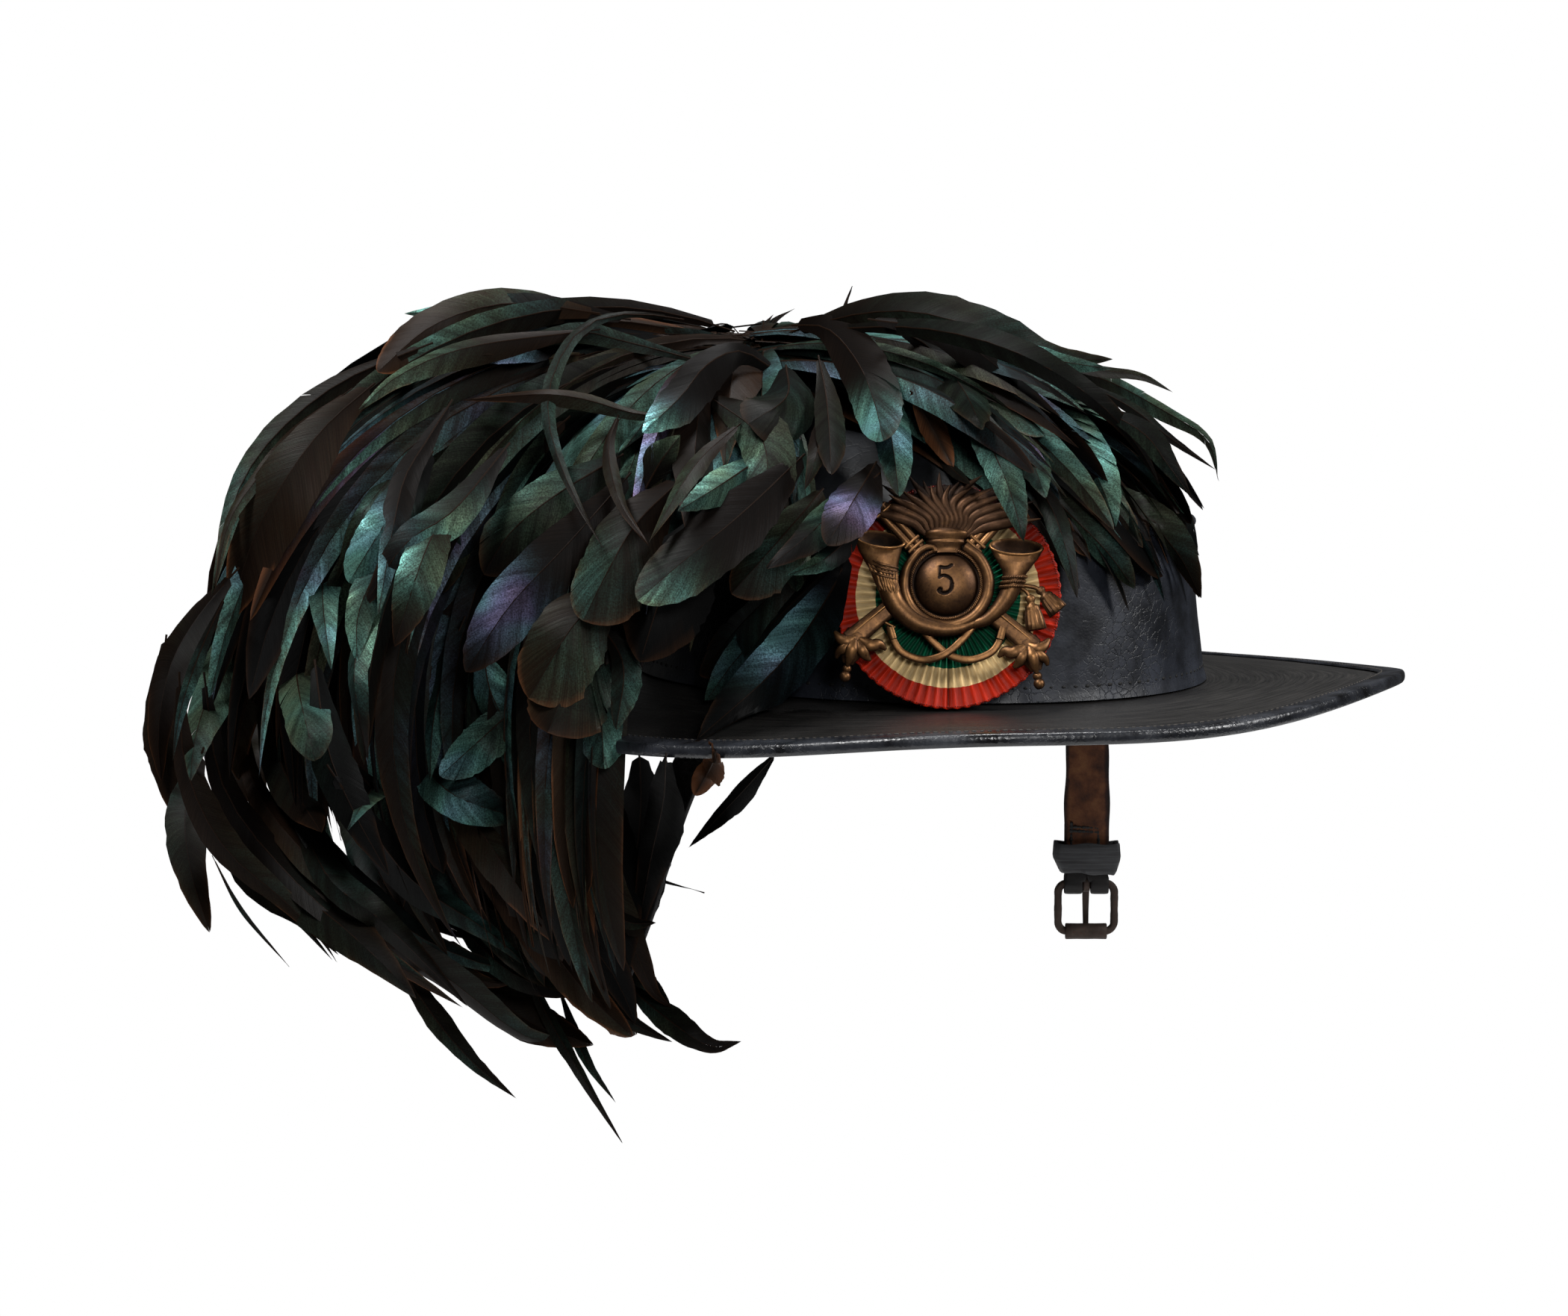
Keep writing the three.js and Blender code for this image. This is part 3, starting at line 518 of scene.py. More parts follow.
@dataclass(frozen=True)
class CastMetal(Finish):
    """A cast or wrought metal with an old skin: dark in its hollows and rubbed to the metal on its tops.

    As brass it gives the eye a warm brown with dull gold on the high parts, as iron a grey-brown rust.
    """

    hollow: str
    skin: str
    bare: str
    spot: str
    rough: float
    metallic: float
    pit: float  # height of the pitting in millimetres

    def lay(self, add: Callable, here: bpy.types.NodeSocket, cut: bpy.types.NodeSocket) -> dict:
        """Adds skin, specks and pits. The tint's red channel says how much a place is rubbed."""
        worn = add("SeparateColor", [add("VertexColor", layer_name="tint")])
        patch = add("TexNoise", {"Vector": here, "Scale": 260.0, "Detail": 6.0, "Roughness": 0.65})
        grit = add("TexNoise", {"Vector": here, "Scale": 1500.0, "Detail": 3.0, "Roughness": 0.6})
        lift = add("Math", [patch, 0.55, worn], operation="MULTIPLY_ADD")
        ramp = add("ValToRGB", [lift], ((0.3, self.hollow), (0.62, self.skin), (1.0, self.bare)))
        speck = add("MapRange", [grit, 0.56, 0.72, 0.0, 0.6])
        colour = add("Mix", {0: speck, 6: ramp, 7: linear(self.spot)}, **BLEND)
        shine = add("MapRange", [lift, 0.3, 1.1, self.rough + 0.14, self.rough - 0.08])
        bump = add("Bump", {"Height": grit, "Strength": 0.5, "Distance": self.pit * MM})
        return {"Base Color": colour, "Roughness": shine, "Metallic": self.metallic, "Normal": bump}


@dataclass(frozen=True)
class FeatherVane(Finish):
    """Cock feather: a dark keratin web of parallel barbs over a thin layer that shines in colours.

    It gives the eye near black with a silky bloom, powdery patches of green, teal and violet where the
    light falls on them, faint slanting lines of barbs, thin shafts and brown edges on the old tips,
    partly painted light shining through the thin web.
    """

    webs: tuple = ((0.0, "#050505"), (0.6, "#1f130b"), (1.0, "#4a2d1b"))
    shines: tuple = ((0.0, "#6a6a50"), (0.28, "#617f68"), (0.5, "#68a096"), (0.68, "#86b8c8"),
                     (0.84, "#9494c2"), (1.0, "#b095bd"))

    def lay(self, add: Callable, here: bpy.types.NodeSocket, cut: bpy.types.NodeSocket) -> dict:
        """Adds the barbs and the shine.

        The UV is the way out along a barb and the barb's root on the shaft, in centimetres. The tint
        holds the shine's hue, its amount, the brown of the place and a number of the feather's own.
        """
        part = add("SeparateColor", [add("VertexColor", layer_name="tint")])
        hue_part, shine_part, brown_part = part.outputs
        barbs = add("Mapping", {"Vector": cut, "Scale": (0.7, 26.0, 1.0)})
        streak = add("TexNoise", {"Vector": barbs, "Scale": 1.0, "Detail": 4.0, "Roughness": 0.6})
        broad = add("Mapping", {"Vector": cut, "Scale": (0.4, 2.2, 1.0)})
        clump = add("TexNoise", {"Vector": broad, "Scale": 1.0, "Detail": 2.0, "Roughness": 0.5})
        powder = add("TexNoise", {"Vector": here, "Scale": 1900.0, "Detail": 3.0, "Roughness": 0.7})
        cloud = add("TexNoise", {"Vector": here, "Scale": 42.0, "Detail": 2.0})
        drift = add("MapRange", [cloud, 0.3, 0.7, -0.2, 0.22])
        hue = add("Math", [drift, hue_part], operation="ADD")
        shine = add("ValToRGB", [hue], self.shines)
        lit = add("MapRange", [clump, 0.32, 0.7, 0.35, 1.3])
        grain = add("MapRange", [powder, 0.36, 0.64, 0.3, 1.4])
        even = add("Math", [lit, grain], operation="MULTIPLY")
        amount = add("Math", [shine_part, even], operation="MULTIPLY", use_clamp=True)
        base = add("ValToRGB", [brown_part], self.webs)
        web = add("MapRange", [streak, 0.32, 0.68, 0.55, 1.4])
        lined = add("Mix", {0: 1.0, 6: base, 7: web}, **TIMES)
        glow = add("Mix", {0: 1.0, 6: shine, 7: web}, **TIMES)
        colour = add("Mix", {0: amount, 6: lined, 7: glow}, **BLEND)
        metal = add("Math", [amount, 0.95], operation="MULTIPLY")
        rough = add("MapRange", [streak, 0.3, 0.7, 0.5, 0.34])
        both = add("Math", [clump, 2.5, streak], operation="MULTIPLY_ADD")
        bump = add("Bump", {"Height": both, "Strength": 0.3, "Distance": 0.00016})
        return {"Base Color": colour, "Metallic": metal, "Roughness": rough, "Specular IOR Level": 0.045,
                "Normal": bump}


@dataclass(frozen=True)
class PlainThread(Finish):
    """Waxed linen or silk thread: a dull twisted strand."""

    colour: str
    rough: float = 0.7

    def lay(self, add: Callable, here: bpy.types.NodeSocket, cut: bpy.types.NodeSocket) -> dict:
        """Adds the thread's twist."""
        twist = add("TexNoise", {"Vector": here, "Scale": 1400.0, "Detail": 2.0})
        shade = add("MapRange", [twist, 0.3, 0.7, 0.6, 1.2])
        dyed = add("Mix", {0: 1.0, 6: linear(self.colour), 7: shade}, **TIMES)
        bump = add("Bump", {"Height": twist, "Strength": 0.4, "Distance": 0.0001})
        return {"Base Color": dyed, "Roughness": self.rough, "Normal": bump}


@dataclass(frozen=True)
class WhitePaper(Finish):
    """Matt white background paper: a faint cloudiness and no shine."""

    def lay(self, add: Callable, here: bpy.types.NodeSocket, cut: bpy.types.NodeSocket) -> dict:
        """Adds the paper's clouds."""
        fibre = add("TexNoise", {"Scale": 3.0, "Detail": 3.0})
        return {"Base Color": add("MapRange", {0: fibre, 3: 0.93, 4: 0.96}), "Roughness": 0.9}


class Stock(Enum):
    """The finishes that the hat is made of, and the paper under it."""

    CROWN = PaintedLeather("crown_painted_leather", "#0b0c0e", "#24272d", 0.5, 0.4, 0.6, 0.3, 7.0)
    BAND = PaintedLeather("band_cracked_painted_leather", "#0f1116", "#2f3440", 0.62, 0.34, 0.58, 0.6, 3.2)
    BRIM = PaintedLeather("brim_rubbed_painted_leather", "#0b0b0c", "#2b2825", 0.75, 0.3, 0.56, 0.25, 7.0,
                          0.85)
    BINDING = PaintedLeather("binding_polished_leather", "#09090b", "#34373e", 0.7, 0.18, 0.46, 0.4, 3.0,
                             0.0, 1.2, 0.35)
    STRAP = PaintedLeather("strap_black_leather", "#0c0b0b", "#1d1b1b", 0.8, 0.42, 0.66, 0.8, 2.4,
                           shine=0.18)
    KEEPER = PaintedLeather("keeper_creased_leather", "#151516", "#46474a", 0.95, 0.44, 0.64, 1.0, 3.4,
                            0.75, shine=0.3)
    FLESH = FleshLeather("rough_brown_strap_leather")
    RIBBON = RibbedSilk("ribbed_silk_ribbon")
    BRASS = CastMetal("antique_cast_brass", "#1a100a", "#483120", "#92683f", "#24160e", 0.42, 0.85, 0.05)
    IRON = CastMetal("rusted_wrought_iron", "#120e0c", "#352b26", "#5f5046", "#46261a", 0.6, 0.65, 0.16)
    FEATHER = FeatherVane("cock_feather_vane")
    LINEN = PlainThread("waxed_linen_thread", "#332e29")
    # Black thread for the strap's sewing, and the black of the band's empty holes, which is painted shade.
    BLACK_THREAD_AND_HOLE_SHADE = PlainThread("black_thread_and_hole_shade", "#080706")
    RED_SILK = PlainThread("red_silk_thread", "#94241a", 0.55)
    PAPER = WhitePaper("white_background_paper")

    def material(self) -> bpy.types.Material:
        """The finish's material, built the first time that it is asked for."""
        return bpy.data.materials.get(self.value.name) or self.value.make()


# Repeats: one Geometry Nodes tree lays stitches, holes and rope strands along a path


class StitchRow:
    """Lays one rounded stitch after another along a path, with Geometry Nodes."""

    SOCKETS = {"Geometry": "Geometry", "Pitch": "Float", "Size": "Vector", "Lean": "Float",
               "Unevenness": "Float", "Seed": "Int", "Finish": "Material"}

    def tree(self) -> Tree:
        """The node tree, built the first time that it is asked for."""
        tree = bpy.data.node_groups.get("stitch_row")
        if tree:
            return tree
        tree = bpy.data.node_groups.new("stitch_row", "GeometryNodeTree")
        for name, kind in self.SOCKETS.items():
            tree.interface.new_socket(name, in_out="INPUT", socket_type="NodeSocket" + kind)
        tree.interface.new_socket("Geometry", in_out="OUTPUT", socket_type="NodeSocketGeometry")
        add = partial(add_node, tree)
        given = add("NodeGroupInput").outputs
        path = add("GeometryNodeMeshToCurve", {"Mesh": given["Geometry"]})
        even = add("GeometryNodeResampleCurve", {"Curve": path, "Length": given["Pitch"]}, mode="LENGTH")
        way = add("GeometryNodeInputTangent")
        out = add("GeometryNodeInputNamedAttribute", {"Name": "out"}, data_type="FLOAT_VECTOR")
        along = add("FunctionNodeAlignRotationToVector", {"Vector": way}, axis="X")
        proud = add("FunctionNodeAlignRotationToVector", {"Rotation": along, "Vector": out}, axis="Z",
                    pivot_axis="X")
        lean = add("FunctionNodeAxisAngleToRotation", {"Axis": (0.0, 0.0, 1.0), "Angle": given["Lean"]})
        turned = add("FunctionNodeRotateRotation", [proud, lean], rotation_space="LOCAL")
        chance = add("FunctionNodeRandomValue", {2: -1.0, "Seed": given["Seed"]}, data_type="FLOAT")
        sizes = add("Math", [chance, given["Unevenness"], 1.0], operation="MULTIPLY_ADD")
        size = add("VectorMath", {0: given["Size"], "Scale": sizes}, operation="SCALE")
        bead = add("GeometryNodeMeshUVSphere", {"Segments": 8, "Rings": 5, "Radius": 0.5})
        laid = add("GeometryNodeInstanceOnPoints",
                   {"Points": even, "Instance": bead, "Rotation": turned, "Scale": size})
        soft = add("GeometryNodeSetShadeSmooth", [add("GeometryNodeRealizeInstances", [laid])])
        add("NodeGroupOutput",
            [add("GeometryNodeSetMaterial", {"Geometry": soft, "Material": given["Finish"]})])
        return tree

    def lay(self, name: str, slot: str, paths: list, pitch: float, size: tuple, stock: Stock,
            lean: float = 0.0, uneven: float = 0.15, closed: bool = True, rubbed: float = 0.0) -> None:
        """Lays the stitches, turns them to a plain mesh and settles it on the hat.

        Args:
            name: the piece's name.
            slot: not used.
            paths: (points, outward directions) of each path, in millimetres.
            pitch: from one stitch to the next, in millimetres.
            size: a stitch's length, width and height in millimetres.
            stock: its finish.
            lean: degrees that each stitch is turned from the path.
            uneven: how much the sizes vary, as a share.
            closed: whether each path is a ring.
            rubbed: how bright they are, where they are of metal.
        """
        mesh = bpy.data.meshes.new(name)
        points, edges, outs = [], [], []
        for line, out in paths:
            start = len(points)
            points += (np.asarray(line) * MM).tolist()
            outs += np.broadcast_to(out, np.shape(line)).tolist()
            last = len(points) - 1
            edges += [(k, k + 1) for k in range(start, last)] + ([(last, start)] if closed else [])
        mesh.from_pydata(points, edges, [])
        mesh.attributes.new("out", "FLOAT_VECTOR", "POINT").data.foreach_set(
            "vector", np.array(outs, np.float32).ravel())
        piece = bpy.data.objects.new(name, mesh)
        bpy.context.scene.collection.objects.link(piece)
        modifier = piece.modifiers.new("stitches", "NODES")
        modifier.node_group = self.tree()
        values = {"Pitch": pitch * MM, "Size": tuple(s * MM for s in size), "Lean": math.radians(lean),
                  "Unevenness": uneven, "Seed": 7, "Finish": stock.material()}
        for item in modifier.node_group.interface.items_tree:
            if item.in_out == "INPUT" and item.name in values:
                modifier[item.identifier] = values[item.name]
        seen = piece.evaluated_get(bpy.context.evaluated_depsgraph_get())
        made = bpy.data.meshes.new_from_object(seen)
        piece.modifiers.clear()
        piece.data = made
        bpy.data.meshes.remove(mesh)
        if rubbed:
            paint(made, np.tile([rubbed, 0, 0, 1], (len(made.vertices), 1)))
        LOG.info("%s: %d faces of stitches", name, len(made.polygons))
        settle(piece)


STITCHES = StitchRow()


# The hat's body


@dataclass(frozen=True)
class HatForm:
    """The forms of crown, band and brim, with the same sizes as the CAD source, in millimetres."""

    foot: tuple[float, float] = (86.0, 101.6)
    band_top: float = 51.6
    band_wall: float = 1.6
    flare: float = 1.3
    flare_top: float = 4.0
    lean: float = 4.0
    lip: float = 1.2
    crown_wall: float = 2.4
    spring: float = 50.0
    dome: float = 43.0
    power: float = 2.1
    crown_foot: float = -1.6
    rim: tuple[float, float] = (147.8, 165.7)
    brim_wall: float = 1.6
    brim_curve: float = 1.25
    gap: float = 0.3
    dome_inset: float = 7.2  # of the dome's foot in the foot's oval
    dents: float = 0.6  # the most that the leather's dents stand out
    ripples: float = 0.7  # the most that the brim's small waves add to it
    reach: tuple[float, float] = (-3.0, 4.0)  # below the foot and over the spring, where the band pushes
    most: float = 3.0  # the furthest push, as a share of the way out
    edge_mean: float = -4.9
    edge_waves: tuple[tuple[int, float, float], ...] = (
        (1, 3.59, -2.89), (2, -3.55, -0.27), (3, -1.41, -0.9),
        (4, -0.37, 0.13), (5, -0.03, 0.77), (6, 0.43, -0.67),
    )

    def band_inset(self, z: Points) -> Points:
        """How far the band's outside lies inside the foot's oval at a height."""
        z = np.asarray(z, float)
        straight = self.flare + self.lean * (z - self.flare_top) / (self.spring - self.flare_top)
        return np.where(z < self.flare_top, self.flare * np.maximum(z, 0) / self.flare_top, straight)

    def crown_inset(self, z: Points) -> Points:
        """How far the crown's outside lies inside the foot's oval at a height."""
        return self.band_inset(np.maximum(z, self.flare_top)) + self.band_wall + self.gap

    def oval(self, angle: Points, out: Points, z: Points) -> Points:
        """Points on an oval, with the leather's slight dents.

        Args:
            angle: the directions in radians.
            out: how far it lies outside the foot's oval.
            z: its height.

        Returns:
            The points.
        """
        a, b = self.foot
        dent = 0.35 * np.sin(3 * angle + 0.05 * z) + 0.25 * np.sin(7 * angle - 0.11 * z + 1)
        out = out + dent * np.clip(z / 20, 0, 1)
        return spread((a + out) * np.cos(angle), (b + out) * np.sin(angle), z + 0 * angle)

    def crown_point(self, angle: Points, z: Points, wall: float) -> Points:
        """Points on the crown's outside, or `wall` inside it, where the dome closes as its oval shrinks."""
        body = self.oval(angle, -(self.crown_inset(np.minimum(z, self.spring)) + wall), z)
        rise = np.clip((z - self.spring) / (self.dome - wall), 0, 1)
        share = ((1 - rise**self.power) ** (1 / self.power))[..., None]
        return body * np.concatenate([share, share, np.ones_like(share)], -1)

    def edge_height(self, angle: Points) -> Points:
        """Height of the brim's edge."""
        waves = [c * np.cos(n * angle) + s * np.sin(n * angle) for n, c, s in self.edge_waves]
        return self.edge_mean + sum(waves)

    def brim_hole(self) -> float:
        """How far the brim's hole lies inside the foot's oval."""
        return float(self.crown_inset(0)) - self.gap

    def brim_span(self) -> float:
        """The brim's width from its hole to its finished edge."""
        return (sum(self.rim) - sum(self.foot)) / 2 + self.brim_hole()

    def brim_point(self, angle: Points, q: Points) -> Points:
        """The middle of the brim's wall, at a share q of the way out."""
        a, b = [(foot - self.brim_hole()) * (1 - q) + rim * q for foot, rim in zip(self.foot, self.rim)]
        half = self.brim_wall / 2
        z = -half + (self.edge_height(angle) + half) * np.maximum(q, 0) ** self.brim_curve
        return spread(a * np.cos(angle), b * np.sin(angle), z)

    def clear_of(self, points: Points, room: float) -> Points:
        """Moves points that lie in the crown, the band or the brim to just outside them.

        Args:
            points: any array of points.
            room: how far outside they end, in millimetres.

        Returns:
            The moved points.
        """
        p = np.array(points, float)
        x, y, z = p[..., 0], p[..., 1], p[..., 2]
        out = self.lip + room
        inset = self.band_inset(np.clip(z, 0, self.spring))
        low = np.hypot(x / (self.foot[0] - inset + out), y / (self.foot[1] - inset + out))
        beside = (z > self.reach[0]) & (z <= self.spring + self.reach[1]) & (low < 1)
        push = np.minimum(np.where(beside, 1 / np.maximum(low, 0.2), 1), self.most)
        a, b = [foot - self.dome_inset + room + self.dents for foot in self.foot]
        rise = np.clip((z - self.spring) / (self.dome + room), 0, None)
        size = (np.hypot(x / a, y / b) ** self.power + rise**self.power) ** (1 / self.power)
        grow = np.where((z > self.spring) & (size < 1), 1 / np.maximum(size, 0.3), 1)
        side = np.maximum(push, grow)
        p[..., 0] = x * side
        p[..., 1] = y * side
        p[..., 2] = np.where(grow > 1, self.spring + (z - self.spring) * grow, z)
        return self.off_brim(p, room)

    def off_brim(self, p: Points, room: float) -> Points:
        """Lifts points that lie in the brim's wall to whichever side of it is nearer.

        Args:
            p: any array of points, which is changed.
            room: how far off the wall they end, in millimetres.

        Returns:
            The array.
        """
        x, y = p[..., 0] / self.rim[0], p[..., 1] / self.rim[1]
        a, b = [foot - self.brim_hole() for foot in self.foot]
        angle = np.arctan2(y, x)
        near = np.hypot(np.cos(angle) * a / self.rim[0], np.sin(angle) * b / self.rim[1])
        q = (np.hypot(x, y) - near) / (1 - near)
        middle = self.brim_point(angle, np.clip(q, 0, 1))[..., 2]
        thick = self.brim_wall / 2 + self.gap + self.ripples + room
        over = p[..., 2] - middle
        inside = (q > -0.1) & (q < 1.02) & (np.abs(over) < thick)
        p[..., 2] = np.where(inside, middle + np.where(over > -0.4, thick, -thick), p[..., 2])
        return p


FORM = HatForm()


@dataclass
class HatBody:
    """Crown, side band, brim and edge binding, with their stitches."""

    around: int = 160
    stitch_pitch: float = 2.3  # the binding's light stitches
    hole_pitch: float = 4.1  # the empty holes over the band's lower edge, drawn as black beads of painted shade
    hole_high: float = 5.0
    hole_deep: float = 1.36
    binding_width: float = 8.5
    binding_wall: float = 0.7

    def crown(self) -> None:
        """The domed crown, a hollow shell with a closed top."""
        low = np.linspace(FORM.crown_foot, FORM.spring, 12, endpoint=False)
        turn = np.linspace(0, math.pi / 2, 18)
        sheets = []
        for wall in (FORM.crown_wall, 0.0):
            high = np.concatenate([low, FORM.spring + (FORM.dome - wall) * np.sin(turn)])[None]
            sheets.append(FORM.crown_point(around(self.around), high, wall))
        grid = np.concatenate([sheets[0][:, ::-1], sheets[1]], 1)
        make_piece("crown_leather", lattice(grid, wrap_rows=True), [Stock.CROWN], "crown_leather",
                   ("crown",))

    def band(self) -> None:
        """The side band, with its rolled upper edge."""
        f = FORM
        heights = (0.6, 1.2, 2.4, 4, 8, 14, 20, 26, 32, 38, 43, 47, 49.2)
        outer = [(-float(f.band_inset(z)), z) for z in heights]
        bead_out, bead_high = -float(f.band_inset(51)) - 0.55, 50.85
        bead_wide, bead_tall = 1.72, 1.6
        bead = [(bead_out + bead_wide * math.cos(t), bead_high + bead_tall * math.sin(t))
                for t in np.radians(np.linspace(-75, 170, 11))]
        inner = [(-float(f.band_inset(max(z, f.flare_top))) - f.band_wall, z)
                 for z in (f.band_top, 40, 26, 14, 4, 0.6)]
        out, high = np.array(outer + bead + inner).T[:, None]
        make_piece("side_band_leather",
                   lattice(f.oval(around(self.around), out, high), wrap_rows=True, wrap_columns=True),
                   [Stock.BAND], "band_leather", ("side_band",), corner=60)
        angle = around(self.around)[:, 0]
        row = f.oval(angle, np.full_like(angle, -self.hole_deep), np.full_like(angle, self.hole_high))
        away = unit(spread(np.cos(angle) / f.foot[0], np.sin(angle) / f.foot[1], 0 * angle))
        # The empty holes are black beads: painted shade for the dark inside of each hole.
        STITCHES.lay("band_stitch_holes", "band_leather", [(row, away)], self.hole_pitch, (1.5, 1.0, 0.34),
                     Stock.BLACK_THREAD_AND_HOLE_SHADE, uneven=0.3)

    def brim(self) -> None:
        """The drooping brim. Its UV is in centimetres round and across."""
        f = FORM
        q = np.linspace(0, 1 - (self.binding_wall + f.gap) / f.brim_span(), 26)
        half = f.brim_wall / 2
        angle = around(self.around)
        angle = np.vstack([angle, angle[:1] + TAU])
        sheets, marks = [], []
        for share, up in ((q[None], -half), (q[None, ::-1], half)):
            p = f.brim_point(angle, share)
            p[..., 2] += up + 0.25 * np.sin(5 * angle + 9 * share) * share * (1 - share) * 4
            sheets.append(p)
            marks.append(spread(angle * 13, share * f.brim_span() / 10))
        make_piece("brim_leather",
                   lattice(np.concatenate(sheets, 1), wrap_columns=True, uv=np.concatenate(marks, 1)),
                   [Stock.BRIM], "brim_leather", ("brim",))

    def binding(self) -> None:
        """The polished strip folded over the brim's edge, with its light stitches."""
        f = FORM
        half = f.brim_wall / 2 + f.gap
        out = half + self.binding_wall
        span = f.brim_span()
        start, last = 1 - self.binding_width / span, 1 - self.binding_wall / span
        nose = [(1 - (1 - math.cos(t)) * 1.1 / span, out * math.sin(t) * 1.08)
                for t in np.radians(np.linspace(-90, 90, 11))]
        low = [(start, -out + 0.35), (start + 0.006, -out), (start + 0.05, -out)]
        high = [(s, -u) for s, u in low][::-1]
        inner = [(start, half), (last, half), (last, -half), (start, -half)]
        share, up = np.array(low + nose + high + inner).T[:, None]
        grid = f.brim_point(around(self.around), share)
        grid[..., 2] += up
        make_piece("brim_edge_binding", lattice(grid, wrap_rows=True, wrap_columns=True), [Stock.BINDING],
                   "binding_leather", ("brim_binding",), corner=50)
        rows = []
        for side in (1, -1):
            row = f.brim_point(around(400)[:, 0], start + 1.1 / span)
            row[:, 2] += side * (out + 0.05)
            rows.append((row, side * UP))
        STITCHES.lay("binding_stitches", "binding_leather", rows, self.stitch_pitch, (1.55, 0.42, 0.36),
                     Stock.LINEN)

    def build(self) -> None:
        """Builds the whole body."""
        for part in (self.crown, self.band, self.brim, self.binding):
            part()


# The plume


@dataclass(frozen=True)
class FeatherCut:
    """One feather's own sizes and colours."""

    wide: float  # millimetres
    tip: float  # 0 for a pointed tip, 1 for a round one
    hue: float  # of the shine, from olive over green and blue to violet
    sheen: float  # how much of it shines
    brown: float  # how brown its web is
    splits: int = 2
    roll: float = 0.0  # degrees about the shaft
    twist: float = 0.0  # more degrees of roll at the tip
    fold: float = 14.0  # degrees that each half of the web falls away from the shaft
    rows: int = 20
    patch: float = 0.0  # where along the feather it shines most, or 0 for anywhere

    def outline(self, x: Points) -> Points:
        """Half the web's width along the feather, as a share of its widest."""
        low = np.clip(x / 0.5, 0, 1)
        body = 0.22 + 0.78 * (low * low * (3 - 2 * low)) ** 0.8
        start = 0.42 + 0.36 * self.tip
        u = np.clip((x - start) / (1 - start), 0, 1)
        return body * (1 - u ** (1.25 + 0.9 * self.tip)) ** (1.02 - 0.5 * self.tip)


@dataclass(frozen=True)
class BentShaft:
    """A feather's shaft: its points, the way along it to each, and three directions at each."""

    line: Points
    run: Points
    along: Points
    side: Points
    out: Points

    @staticmethod
    def through(path: Points, up: Points, cut: FeatherCut) -> "BentShaft":
        """Bends a shaft.

        Args:
            path: points along it from the base to the tip, in millimetres.
            up: the direction that the web's outside faces, one or many.
            cut: the feather's sizes.

        Returns:
            The shaft, with the web's roll in its directions.
        """
        line = smooth_line(path, 36)
        run = run_along(line)
        along = unit(np.gradient(line, axis=0))
        if up.ndim > 1:
            up = spread(*[spaced(column, 36) for column in up.T])
        side = unit(np.cross(along, np.broadcast_to(up, line.shape)))
        out = unit(np.cross(side, along))
        turn = np.radians(cut.roll + cut.twist * run / run[-1])[:, None]
        return BentShaft(line, run, along, side * np.cos(turn) + out * np.sin(turn),
                         out * np.cos(turn) - side * np.sin(turn))

    def put(self, a: Points, b: Points, h: Points) -> Points:
        """Puts a flat feather's places (a along, b across, h high) onto the bent shaft."""
        inside = np.clip(a, 0, self.run[-1])
        line, along, side, out = [at_runs(inside, self.run, each)
                                  for each in (self.line, self.along, self.side, self.out)]
        return line + along * (a - inside)[..., None] + side * b[..., None] + out * h[..., None]


